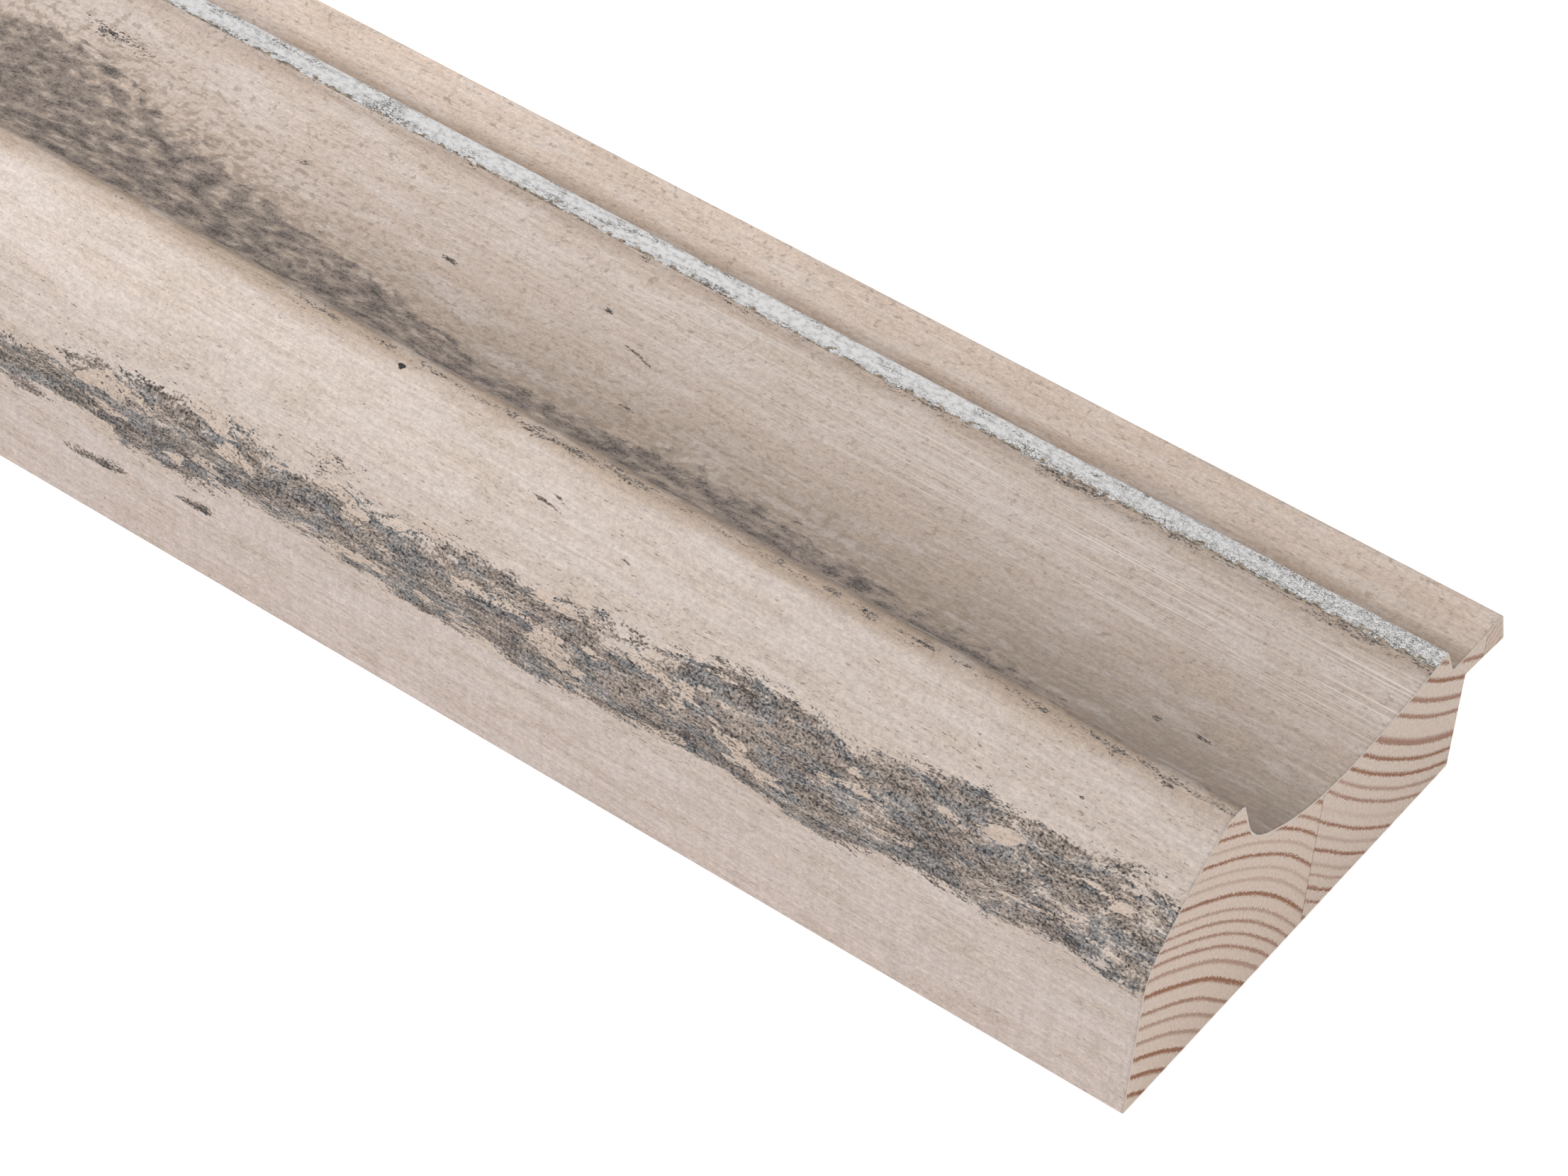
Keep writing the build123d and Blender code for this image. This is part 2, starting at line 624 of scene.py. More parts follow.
@dataclass(frozen=True)
class DistressedPaint:
    """Matt greige paint over gesso, dry-brushed and rubbed back.

    The eye sees a dull chalky coat with a fine drag of the brush along the stick, dark gritty wear with
    blue-grey bloom along the shoulder, and islands of warmer paint left standing in it.
    """

    wear: Wear
    # Partly the paint's own colour and partly painted shade, which darkens the quirk behind the crest, the
    # scoop's floor and the groove behind the ridge.
    base_tones_with_painted_shade: tuple[tuple[float, str], ...] = (
        (0, "#cabab1"), (14, "#cbbcb3"), (32, "#c6b8ae"), (40, "#c6b8ae"), (41.6, "#ae9b8b"),
        (43.2, "#978473"), (44, "#62574f"), (57, "#86766b"), (64, "#9b8c7f"), (78, "#b7a69a"),
        (88, "#c3b4aa"), (91.5, "#bfafa3"), (93, "#a59488"), (97.6, "#a39284"), (104.5, "#a59283"),
        (107, "#cbb9ab"), (118, "#cdbbad"))
    grit_tones: tuple[str, ...] = (
        "#3c3633", "#564e49", "#70665f", "#8a7e75", "#9f9187", "#b1a195", "#c0afa1")
    bloom_tones: tuple[str, ...] = (
        "#313237", "#4b4d51", "#646669", "#7c7d7f", "#939190", "#a7a29e", "#b8afa8")
    brown_tones: tuple[str, ...] = (
        "#5b524c", "#6d635c", "#7d716a", "#8b7e75", "#978a80", "#a39489", "#b09f93")
    island: str = "#c5b2a2"
    chalky: str = "#d2c9c5"
    tan: str = "#b9a798"
    stain: str = "#958374"
    nick: str = "#685c54"
    scratch: str = "#e2dad3"
    pit: str = "#2b2a2d"

    def base_tone_with_painted_shade(self, tree: bpy.types.NodeTree, across: Any) -> bpy.types.Node:
        """Add the nodes that give the paint's colour over the face: partly its own colour, and partly
        painted shade that darkens the quirk behind the crest, the scoop's floor and the groove behind the
        ridge.

        Args:
            tree: The node tree that gets them.
            across: The distance over the face.

        Returns:
            The node that gives the colour.
        """
        stops = [(place / FACE_SPAN, srgb(code)) for place, code in self.base_tones_with_painted_shade]
        stops.append((1.0, stops[-1][1]))
        return add(tree, RAMP, add(tree, MATH, across, FACE_SPAN, operation="DIVIDE"), stops=stops)

    def worn_tone(self, tree: bpy.types.NodeTree, tone: Any, codes: tuple[str, ...]) -> bpy.types.Node:
        """Add the node that turns a random tone into the worn bands' colours.

        Args:
            tree: The node tree that gets it.
            tone: The tone, a half on average.
            codes: The colours from the darkest to the palest.

        Returns:
            The node that gives the colour.
        """
        places = (0.26, 0.34, 0.42, 0.5, 0.58, 0.66, 0.74)
        stops = [(place, srgb(code)) for place, code in zip(places, codes)]
        return add(tree, RAMP, tone, stops=[(0.0, srgb(codes[0])), *stops, (1.0, srgb(codes[-1]))])

    def blended(self, tree: bpy.types.NodeTree, parts: tuple[tuple[Any, float], ...]) -> Any:
        """Add the nodes that add mottles up into a tone that is still a half on average.

        Args:
            tree: The node tree that gets them.
            parts: Each mottle and its weight.

        Returns:
            The node that gives the tone.
        """
        tone: Any = (1 - sum(weight for _, weight in parts)) / 2
        for mottle, weight in parts:
            tone = add(tree, MATH, mottle, weight, tone, operation="MULTIPLY_ADD")
        return tone

    def fields(self, tree: bpy.types.NodeTree, sheet: Any) -> dict[str, Any]:
        """Add the random fields that the paint's parts share.

        Args:
            tree: The node tree that gets them.
            sheet: The place on the face.

        Returns:
            The fields by name. Of "grit" and "streak", a low value is a dark place.
        """
        place = add(tree, SEPARATE, sheet)
        wave = add(tree, MATH, Mottle(14, 7, 1, 0.5, 46).lay(tree, sheet), 0.5, operation="SUBTRACT")
        wave_height = 2.4
        climb = add(tree, COMBINE, 0.0, add(tree, MATH, wave, wave_height, operation="MULTIPLY"), 0.0)
        bent = add(tree, VECTOR_MATH, sheet, climb, operation="ADD")
        grit = Mottle(0.42, 0.25, 2, 0.6, 41).lay(tree, bent)
        streak = Mottle(2.6, 0.75, 4, 0.66, 42).lay(tree, bent)
        patch = Mottle(11, 3.4, 3, 0.55, 43).lay(tree, bent)
        blot = Mottle(3.0, 1.6, 4, 0.62, 49).lay(tree, bent)
        return {
            "sheet": sheet, "along": place.outputs["X"], "across": place.outputs["Y"], "bent": bent,
            "bent across": add(tree, SEPARATE, self.wear.swayed(tree, sheet)).outputs["Y"],
            "grit": grit, "streak": streak,
            "tone": self.blended(tree, ((grit, 0.7), (streak, 0.6), (patch, 0.4))),
            "brown tone": self.blended(tree, ((blot, 0.95), (patch, 0.35), (grit, 0.3))),
            "peel": Mottle(0.9, 0.6, 3, 0.6, 48).lay(tree, sheet),
            "spots": Mottle(1.5, 1.1, 3, 0.6, 50).lay(tree, bent),
        }

    def worn_places(self, tree: bpy.types.NodeTree, fields: dict[str, Any]) -> dict[str, Any]:
        """Add the nodes that give how worn each place is.

        Args:
            tree: The node tree that gets them.
            fields: The random fields.

        Returns:
            The shares by name: "all" of the wear, "thin" with the islands taken out, "brown" where it
            has no bloom, "scoop" of the scoop's own, "rim" round the islands, "mark" at the single
            marks, and "island" on the islands.
        """
        length = self.wear.length
        along, across = fields["along"], fields["across"]
        shoulder = self.wear.shoulder.share(tree, along, fields["bent across"], length)
        scoop = self.wear.scoop.share(tree, along, fields["bent across"], length)
        behind_crest = add(tree, RANGE, across, *self.wear.scoop_edge)
        scoop = add(tree, MATH, scoop, behind_crest, operation="MULTIPLY")
        brown: Any = scoop
        for line in (self.wear.crest, self.wear.under_leaf):
            brown = add(tree, MATH, brown, line.share(tree, along, across, length), operation="MAXIMUM")
        share = add(tree, MATH, shoulder, brown, operation="MAXIMUM")
        lobes = Mottle(10, 2.7, 3, 0.5, 44).lay(tree, fields["bent"])
        least = add(tree, RANGE, along, 30.0, 60.0, 0.63, 0.575)
        over = add(tree, MATH, lobes, least, operation="SUBTRACT")
        island = add(tree, MATH, add(tree, RANGE, over, -0.012, 0.035), shoulder, operation="MULTIPLY")
        # The islands' rims: dark paint at their flaking edges, and a painted shadow along those edges.
        near_edge = add(tree, RANGE, add(tree, MATH, over, operation="ABSOLUTE"), 0.02, 0.002)
        rim = add(tree, MATH, near_edge, shoulder, operation="MULTIPLY")
        kept = add(tree, MATH, island, -0.44, 1.0, operation="MULTIPLY_ADD")
        mark = self.wear.nearness(tree, fields["bent"], self.wear.marks)
        thin = add(tree, MATH, add(tree, MATH, share, kept, operation="MULTIPLY"), mark,
                   operation="MAXIMUM")
        return {"all": share, "thin": thin, "brown": add(tree, MATH, brown, mark, operation="MAXIMUM"),
                "scoop": scoop, "rim": rim, "mark": mark, "island": island}

    def sound_coat(self, tree: bpy.types.NodeTree, fields: dict[str, Any],
                   worn: dict[str, Any]) -> bpy.types.Node:
        """Add the nodes that give the colour of the coat where it is sound.

        Args:
            tree: The node tree that gets them.
            fields: The random fields.
            worn: How worn each place is.

        Returns:
            The node that gives the colour.
        """
        sheet, along, across = fields["sheet"], fields["along"], fields["across"]
        sound = self.base_tone_with_painted_shade(tree, across)
        blotch = Mottle(15, 2.6, 4, 0.62, 23).lay(tree, fields["bent"])
        for code, first, last, most in ((self.chalky, 0.48, 0.66, 0.3), (self.tan, 0.49, 0.34, 0.35)):
            amount = add(tree, RANGE, blotch, first, last, 0.0, most)
            sound = add(tree, MIX, amount, sound, srgb(code), data_type="RGBA")
        warm = add(tree, MATH, worn["all"], 0.4, operation="MULTIPLY")
        warm = add(tree, MATH, warm, add(tree, MATH, worn["island"], 0.85, operation="MULTIPLY"),
                   operation="MAXIMUM")
        sound = add(tree, MIX, warm, sound, srgb(self.island), data_type="RGBA")

        # The brush's drag along the stick, a fine speckle, painted light that makes the face above the
        # shoulder paler away from the near end, and the wall's upright mottle
        drag = Mottle(26, 0.3, 3, 0.6, 21).lay(tree, sheet)
        tone = add(tree, RANGE, drag, 0.3, 0.7, 0.92, 1.07)
        for name, lowest in (("grit", 0.89), ("streak", 0.92), ("peel", 0.87)):
            speckle = add(tree, RANGE, fields[name], 0.26, 0.62, lowest, 1.05)
            tone = add(tree, MATH, tone, speckle, operation="MULTIPLY")
        # Painted light: above the shoulder the face is made paler further from the near end, standing in
        # for light that falls off towards the near end.
        further = add(tree, RANGE, along, 30.0, 170.0, 0.0, 0.23)
        paler = add(tree, MATH, further, add(tree, RANGE, across, 24.0, 34.0), 1.0,
                    operation="MULTIPLY_ADD")
        tone = add(tree, MATH, tone, paler, operation="MULTIPLY")
        upright = add(tree, MATH, Mottle(1.5, 11, 4, 0.6, 24).lay(tree, sheet), 0.5, operation="SUBTRACT")
        upright_amount = add(tree, RANGE, across, 17.0, 12.0, 0.0, 0.22)
        tone = add(tree, MATH, tone, add(tree, MATH, upright, upright_amount, 1.0,
                                         operation="MULTIPLY_ADD"), operation="MULTIPLY")
        sound = add(tree, MIX, 1.0, sound, tone, data_type="RGBA", blend_type="MULTIPLY")

        # Short dark nicks along the stick, thicker in the tan patches and round the wear
        beside = self.wear.shoulder.share(tree, along, fields["bent across"], self.wear.length, 3.0)
        nick_at = add(tree, RANGE, blotch, 0.62, 0.36, 0.265, 0.345)
        nick_at = add(tree, MATH, beside, 0.07, nick_at, operation="MULTIPLY_ADD")
        nick_at = add(tree, MATH, nick_at, Mottle(1.3, 0.24, 3, 0.6, 26).lay(tree, sheet),
                      operation="SUBTRACT")
        nick = add(tree, RANGE, nick_at, 0.0, 0.045, 0.0, 0.7)
        sound = add(tree, MIX, nick, sound, srgb(self.nick), data_type="RGBA")

        # A brown stain that breaks up into spots round the scoop's wear
        around = self.wear.scoop.share(tree, along, fields["bent across"], self.wear.length, 4.0)
        stain_at = add(tree, MATH, around, 1.0, -0.55, operation="MULTIPLY_ADD")
        spotty = add(tree, MATH, 0.5, fields["spots"], operation="SUBTRACT")
        stain_at = add(tree, MATH, spotty, 5.0, stain_at, operation="MULTIPLY_ADD")
        stain = add(tree, MATH, add(tree, RANGE, stain_at, 0.0, 0.5, 0.0, 0.55),
                    add(tree, RANGE, across, *self.wear.scoop_edge), operation="MULTIPLY")
        sound = add(tree, MIX, stain, sound, srgb(self.stain), data_type="RGBA")

        # Fine pale scratches along the scoop's rise, most of them near the end
        scratch = add(tree, RANGE, Mottle(34, 0.17, 2, 0.5, 25).lay(tree, sheet), 0.58, 0.66)
        for limit in (add(tree, RANGE, across, 77.0, 83.0), add(tree, RANGE, across, 93.0, 90.0),
                      add(tree, RANGE, along, 150.0, 40.0, 0.12, 0.7)):
            scratch = add(tree, MATH, scratch, limit, operation="MULTIPLY")
        return add(tree, MIX, scratch, sound, srgb(self.scratch), data_type="RGBA")

    def material(self) -> bpy.types.Material:
        """Build the paint.

        Returns:
            The material.
        """
        material, tree, shader = fresh_material("distressed_greige_paint")
        sheet = add(tree, "ShaderNodeAttribute", attribute_name="sheet").outputs["Vector"]
        fields = self.fields(tree, sheet)
        worn = self.worn_places(tree, fields)
        sound = self.sound_coat(tree, fields, worn)

        # The worn colours, brown-grey with blue-grey bloom, darkest at the islands' rims, where dark paint
        # and a painted edge shadow lie, and at the marks
        is_brown = add(tree, RANGE, worn["scoop"], 0.05, 0.4)
        tone = add(tree, MIX, is_brown, fields["tone"], fields["brown tone"])
        for name, darker in (("rim", -0.09), ("mark", -0.1)):
            tone = add(tree, MATH, worn[name], darker, tone, operation="MULTIPLY_ADD")
        bloom_field = Mottle(7, 2.0, 3, 0.6, 45).lay(tree, fields["bent"])
        bloom_most = add(tree, RANGE, worn["brown"], 0.0, 0.7, 0.7, 0.0)
        bloom = add(tree, MATH, add(tree, RANGE, bloom_field, 0.46, 0.60), bloom_most, operation="MULTIPLY")
        paler = add(tree, RANGE, worn["thin"], 0.4, 0.95, 0.12, 0.0)
        shown = add(tree, MATH, tone, paler, operation="ADD")
        # Partly darker paint and partly painted shade: the scoop's brown is darkest just behind the crest,
        # in the quirk, and paler up the scoop's rise.
        deeper = add(tree, MATH, is_brown, add(tree, RANGE, fields["across"], 44.0, 72.0, -0.09, 0.035),
                     operation="MULTIPLY")
        shown = add(tree, MATH, shown, deeper, operation="ADD")
        worn_colour = self.worn_tone(tree, shown, self.grit_tones)
        for amount, codes in ((bloom, self.bloom_tones), (is_brown, self.brown_tones)):
            worn_colour = add(tree, MIX, amount, worn_colour, self.worn_tone(tree, shown, codes),
                              data_type="RGBA")

        # They show where the coat is worn through, and first where their tone is dark. Off the islands
        # the grit has less say in that, so that the wear's edges don't break up into dots.
        dark = add(tree, MATH, 0.5, tone, operation="SUBTRACT")
        pale_grit = add(tree, MATH, fields["grit"], 0.5, operation="SUBTRACT")
        off_island = add(tree, MATH, worn["island"], -1.2, 1.2, operation="MULTIPLY_ADD")
        cover_at = add(tree, MATH, worn["thin"], 2.1, -1.28, operation="MULTIPLY_ADD")
        for part, weight in ((dark, 4.0), (pale_grit, off_island), (is_brown, 0.3), (worn["rim"], 0.3)):
            cover_at = add(tree, MATH, part, weight, cover_at, operation="MULTIPLY_ADD")
        cover = add(tree, RANGE, cover_at, 0.0, add(tree, RANGE, is_brown, 0.0, 1.0, 0.3, 0.75))
        colour = add(tree, MIX, cover, sound, worn_colour, data_type="RGBA")

        # Near-black pits, thickest in the darkest streaks
        pit_at = add(tree, RANGE, shown, 0.56, 0.36, 0.335, 0.44)
        pit_at = add(tree, MATH, pit_at, Mottle(0.5, 0.32, 2, 0.5, 47).lay(tree, fields["bent"]),
                     operation="SUBTRACT")
        pit_most = add(tree, RANGE, is_brown, 0.0, 1.0, 0.9, 0.6)
        pit = add(tree, MATH, add(tree, RANGE, pit_at, 0.0, 0.03), cover, operation="MULTIPLY")
        pit = add(tree, MATH, pit, pit_most, operation="MULTIPLY")
        colour = add(tree, MIX, pit, colour, srgb(self.pit), data_type="RGBA")
        hole = self.wear.nearness(tree, sheet, (self.wear.nail_hole,))
        hole = add(tree, MATH, fields["streak"], -1.6, add(tree, MATH, hole, 0.8, operation="ADD"),
                   operation="MULTIPLY_ADD")
        hole = add(tree, RANGE, hole, 0.42, 0.6)
        colour = add(tree, MIX, hole, colour, srgb(self.pit), data_type="RGBA")
        tree.links.new(colour.outputs["Result"], shader.inputs["Base Color"])

        # Dull all over, and rough to the light where it is worn
        roughness = add(tree, RANGE, fields["grit"], 0.3, 0.7, 0.9, 0.76)
        tree.links.new(roughness.outputs["Result"], shader.inputs["Roughness"])
        height = add(tree, MATH, cover, -0.35, fields["grit"], operation="MULTIPLY_ADD")
        height = add(tree, MATH, pit, -0.3, height, operation="MULTIPLY_ADD")
        bump = add(tree, "ShaderNodeBump", {"Height": height, "Strength": 0.5, "Distance": 0.0001})
        tree.links.new(bump.outputs["Normal"], shader.inputs["Normal"])
        return material


@dataclass(frozen=True)
class Gesso:
    """Chalk ground under the paint: a dead matt off-white that shows as a pale line at the cut ends."""

    chalk: str = "#ddd2c8"
    dusty: str = "#cbbdb0"

    def material(self) -> bpy.types.Material:
        """Build the gesso.

        Returns:
            The material.
        """
        material, tree, shader = fresh_material("chalk_gesso")
        place = add(tree, "ShaderNodeTexCoord").outputs["Object"]
        cloud = add(tree, NOISE, {"Vector": place, "Scale": 1 / (1.5 * MM), "Detail": 2.0})
        colour = add(tree, MIX, cloud, srgb(self.chalk), srgb(self.dusty), data_type="RGBA")
        tree.links.new(colour.outputs["Result"], shader.inputs["Base Color"])
        shader.inputs["Roughness"].default_value = 0.9
        return material


@dataclass(frozen=True)
class SilverLeaf:
    """Silver leaf laid over the ridge, cracked and flaking at its edges.

    The eye sees a bright, slightly crumpled metal line, broken by fine dark cracks and by bare patches
    of brown size.
    """

    bright: str = "#d9d8d8"
    dull: str = "#b3b1af"
    crack: str = "#57514b"
    size: str = "#a1917f"

    def material(self) -> bpy.types.Material:
        """Build the leaf.

        Returns:
            The material.
        """
        material, tree, shader = fresh_material("cracked_silver_leaf")
        sheet = add(tree, "ShaderNodeAttribute", attribute_name="sheet").outputs["Vector"]
        place = add(tree, SEPARATE, sheet)
        along, across = place.outputs["X"], place.outputs["Y"]
        crumple = Mottle(1.1, 0.6, 4, 0.65, 51).lay(tree, sheet)
        metal = add(tree, MIX, add(tree, RANGE, crumple, 0.28, 0.56), srgb(self.dull), srgb(self.bright),
                    data_type="RGBA")

        # Fine cracks, thickest near the end and along both edges
        stretch = add(tree, RANGE, Mottle(9, 1.5, 3, 0.55, 53).lay(tree, sheet), 0.5, 0.68)
        near_end = add(tree, RANGE, along, 95.0, 5.0, 0.0, 0.72)
        by_edge = add(tree, MATH, add(tree, RANGE, across, 95.1, 94.2),
                      add(tree, RANGE, across, 96.4, 97.2), operation="MAXIMUM")
        often = add(tree, MATH, stretch, near_end, operation="MAXIMUM")
        often = add(tree, MATH, by_edge, 0.45, often, operation="MULTIPLY_ADD")
        crack: Any = 0.0
        reach = add(tree, MATH, often, 0.03, operation="MULTIPLY")
        for mottle in (Mottle(1.5, 0.45, 3, 0.6, 54), Mottle(0.7, 0.6, 3, 0.6, 55)):
            from_half = add(tree, MATH, mottle.lay(tree, sheet), 0.5, operation="SUBTRACT")
            from_half = add(tree, MATH, from_half, operation="ABSOLUTE")
            line = add(tree, RANGE, add(tree, MATH, reach, from_half, operation="SUBTRACT"), 0.0, 0.012)
            crack = add(tree, MATH, line, crack, operation="MAXIMUM")
        colour = add(tree, MIX, crack, metal, srgb(self.crack), data_type="RGBA")

        # The flaked edge over the scoop, and the dirty size that it leaves bare
        ragged = Mottle(1.5, 0.8, 4, 0.6, 52).lay(tree, sheet)
        edge = add(tree, RANGE, across, 93.5, 96.8)
        kept_at = add(tree, MATH, near_end, -0.12, edge, operation="MULTIPLY_ADD")
        kept_at = add(tree, MATH, ragged, kept_at, operation="ADD")
        kept = add(tree, RANGE, kept_at, 0.62, 0.65)
        dirt = add(tree, RANGE, Mottle(0.9, 0.3, 4, 0.65, 56).lay(tree, sheet), 0.53, 0.44)
        bare = add(tree, MIX, dirt, srgb(self.size), srgb(self.crack), data_type="RGBA")
        colour = add(tree, MIX, kept, bare, colour, data_type="RGBA")
        tree.links.new(colour.outputs["Result"], shader.inputs["Base Color"])
        whole = add(tree, MATH, 1.0, crack, operation="SUBTRACT")
        whole = add(tree, MATH, whole, kept, operation="MULTIPLY")
        metallic = add(tree, MATH, whole, 0.6, operation="MULTIPLY")
        tree.links.new(metallic.outputs["Value"], shader.inputs["Metallic"])
        roughness = add(tree, RANGE, crumple, 0.3, 0.7, 0.6, 0.42)
        tree.links.new(roughness.outputs["Result"], shader.inputs["Roughness"])
        height = add(tree, MATH, whole, 0.5, crumple, operation="MULTIPLY_ADD")
        bump = add(tree, "ShaderNodeBump", {"Height": height, "Strength": 0.35, "Distance": 0.0001})
        tree.links.new(bump.outputs["Normal"], shader.inputs["Normal"])
        return material


@dataclass(frozen=True)
class Ring:
    """The dark latewood line that closes one year's growth.

    Attributes:
        radius: Its distance from the heart of the tree.
        strength: How dark it is, from 0 to 1.
    """

    radius: float
    strength: float


@dataclass(frozen=True)
class Pine:
    """Planed softwood: pale fleshy early wood, with a thin brown line of late wood for each year.

    The eye sees curved lines on the sawn ends, and long straight ones with fine fibres on the sides.

    Attributes:
        name: The stave that it is cut for.
        heart: Where the heart of the tree was, as (X, Z).
        rings: Its growth rings from the smallest.
        early: The early wood's colour.
        late: The late wood's colour.
        glue: The glue lines' colour.
    """

    name: str
    heart: tuple[float, float]
    rings: tuple[Ring, ...]
    early: str = "#d6c2b3"
    late: str = "#80460f"
    glue: str = "#7d6250"

    def material(self, section: Section) -> bpy.types.Material:
        """Build the wood.

        Args:
            section: The section, for the frame that the heart is given in.

        Returns:
            The material.
        """
        material, tree, shader = fresh_material(f"planed_pine_{self.name}")
        place = add(tree, "ShaderNodeTexCoord").outputs["Object"]
        corner = (section.overall_width / 2, section.stick_length / 2, 0.0)
        in_mm = add(tree, VECTOR_MATH, place, (1 / MM, 1 / MM, 1 / MM), corner, operation="MULTIPLY_ADD")
        wave = add(tree, NOISE, {"Vector": add(tree, VECTOR_MATH, in_mm, (1 / 24, 1 / 300, 1 / 24),
                                               operation="MULTIPLY"), "Scale": 1.0, "Detail": 2.0})
        parts = add(tree, SEPARATE, in_mm)
        away = []
        for axis, heart, wave_length, reach in (("X", self.heart[0], 260, 5.0),
                                                ("Z", self.heart[1], 390, 4.0)):
            drift = add(tree, MATH, parts.outputs["Y"], 1 / wave_length, operation="MULTIPLY")
            drift = add(tree, MATH, drift, operation="SINE")
            drifted = add(tree, MATH, drift, reach, parts.outputs[axis], operation="MULTIPLY_ADD")
            away.append(add(tree, MATH, drifted, heart, operation="SUBTRACT"))
        from_heart = add(tree, COMBINE, away[0], 0.0, away[1])
        radius = add(tree, VECTOR_MATH, from_heart, operation="LENGTH").outputs["Value"]
        tooth_place = add(tree, VECTOR_MATH, in_mm, (1 / 0.3, 1 / 60, 1 / 0.3), operation="MULTIPLY")
        tooth = add(tree, NOISE, {"Vector": tooth_place, "Scale": 1.0, "Detail": 2.0, "Roughness": 0.6})
        for unevenness, reach in ((wave, 1.0), (tooth, 1.4)):
            from_half = add(tree, MATH, unevenness, 0.5, operation="SUBTRACT")
            radius = add(tree, MATH, from_half, reach, radius, operation="MULTIPLY_ADD")

        # Which year's growth a place is in, and how far through it
        first, last = self.rings[0].radius, self.rings[-1].radius
        share = add(tree, RANGE, radius, first, last)
        count = len(self.rings) - 1
        years = add(tree, "ShaderNodeFloatCurve", {"Value": share})
        for number, ring in enumerate(self.rings[1:-1], 1):
            years.mapping.curves[0].points.new((ring.radius - first) / (last - first), number / count)
        for point in years.mapping.curves[0].points:
            point.handle_type = "VECTOR"
        years.mapping.update()
        year = add(tree, MATH, years, float(count), operation="MULTIPLY")
        strengths = add(tree, "ShaderNodeFloatCurve", {"Value": years})
        for number, ring in enumerate(self.rings[1:-1], 1):
            strengths.mapping.curves[0].points.new((number - 0.1) / count, ring.strength)
        strengths.mapping.curves[0].points[0].location = (0.0, self.rings[0].strength)
        strengths.mapping.curves[0].points[-1].location = (1.0, self.rings[-1].strength)
        strengths.mapping.update()
        through = add(tree, MATH, year, operation="FRACT")
        onset = add(tree, RANGE, through, 0.64, 0.82, interpolation_type="SMOOTHSTEP")
        close = add(tree, RANGE, through, 1.0, 0.965)
        line = add(tree, MATH, add(tree, MATH, onset, close, operation="MULTIPLY"), strengths,
                   operation="MULTIPLY")

        # Fibres: short pale and dark flecks on the ends, long ones on the sides
        fleck_place = add(tree, VECTOR_MATH, in_mm, (1 / 0.55, 1 / 18, 1 / 0.55), operation="MULTIPLY")
        fleck = add(tree, NOISE, {"Vector": fleck_place, "Scale": 1.0, "Detail": 4.0, "Roughness": 0.72})
        fleck_tone = add(tree, RANGE, fleck, 0.32, 0.66, 0.84, 1.09)
        colour = add(tree, MIX, line, srgb(self.early), srgb(self.late), data_type="RGBA")
        fleck_tone = add(tree, MATH, fleck_tone, add(tree, RANGE, tooth, 0.35, 0.6, 0.92, 1.05),
                         operation="MULTIPLY")
        colour = add(tree, MIX, 1.0, colour, fleck_tone, data_type="RGBA", blend_type="MULTIPLY")

        # The glue lines
        for glue_line in section.glue_lines:
            off = add(tree, MATH, add(tree, MATH, parts.outputs["X"], glue_line, operation="SUBTRACT"),
                      operation="ABSOLUTE")
            thin = add(tree, RANGE, off, 0.16, 0.05, 0.0, 0.6)
            colour = add(tree, MIX, thin, colour, srgb(self.glue), data_type="RGBA")
        tree.links.new(colour.outputs["Result"], shader.inputs["Base Color"])
        roughness = add(tree, RANGE, line, 0.0, 1.0, 0.72, 0.6)
        tree.links.new(roughness.outputs["Result"], shader.inputs["Roughness"])
        bump = add(tree, "ShaderNodeBump", {"Height": fleck, "Strength": 0.35, "Distance": 0.0001})
        tree.links.new(bump.outputs["Normal"], shader.inputs["Normal"])
        return material


class Input(Enum):
    """The kinds of input that a Geometry Nodes tree takes here."""

    SIZE = "NodeSocketFloat"
    COUNT = "NodeSocketInt"
    FINISH = "NodeSocketMaterial"


def new_tree(name: str, inputs: dict[str, Input]) -> tuple[bpy.types.NodeTree, bpy.types.Node]:
    """Start a Geometry Nodes tree with named inputs.

    Args:
        name: The tree's name.
        inputs: The kind of each input by its name, besides the geometry.

    Returns:
        The tree and its input node.
    """
    tree = bpy.data.node_groups.new(name, "GeometryNodeTree")
    tree.interface.new_socket("Geometry", in_out="INPUT", socket_type="NodeSocketGeometry")
    for label, kind in inputs.items():
        tree.interface.new_socket(label, in_out="INPUT", socket_type=kind.value)
    tree.interface.new_socket("Geometry", in_out="OUTPUT", socket_type="NodeSocketGeometry")
    return tree, add(tree, "NodeGroupInput")


def run_tree(name: str, source: bpy.types.Mesh, tree: bpy.types.NodeTree,
             values: dict[str, Any]) -> bpy.types.Object:
    """Run a Geometry Nodes tree on a mesh and keep what it makes as a plain mesh.

    Args:
        name: The new piece's name.
        source: The mesh that the tree starts from.
        tree: The tree.
        values: The tree's inputs by name.

    Returns:
        The new piece.
    """
    holder = bpy.data.objects.new(f"{name}_source", source)
    bpy.context.scene.collection.objects.link(holder)
    modifier = holder.modifiers.new("shape", "NODES")
    modifier.node_group = tree
    for item in tree.interface.items_tree:
        if item.in_out == "INPUT" and item.name in values:
            modifier[item.identifier] = values[item.name]
    graph = bpy.context.evaluated_depsgraph_get()
    mesh = bpy.data.meshes.new_from_object(holder.evaluated_get(graph), preserve_all_data_layers=True,
                                           depsgraph=graph)
    mesh.name = name
    bpy.data.objects.remove(holder)
    bpy.data.meshes.remove(source)
    piece = bpy.data.objects.new(name, mesh)
    bpy.context.scene.collection.objects.link(piece)
    return piece


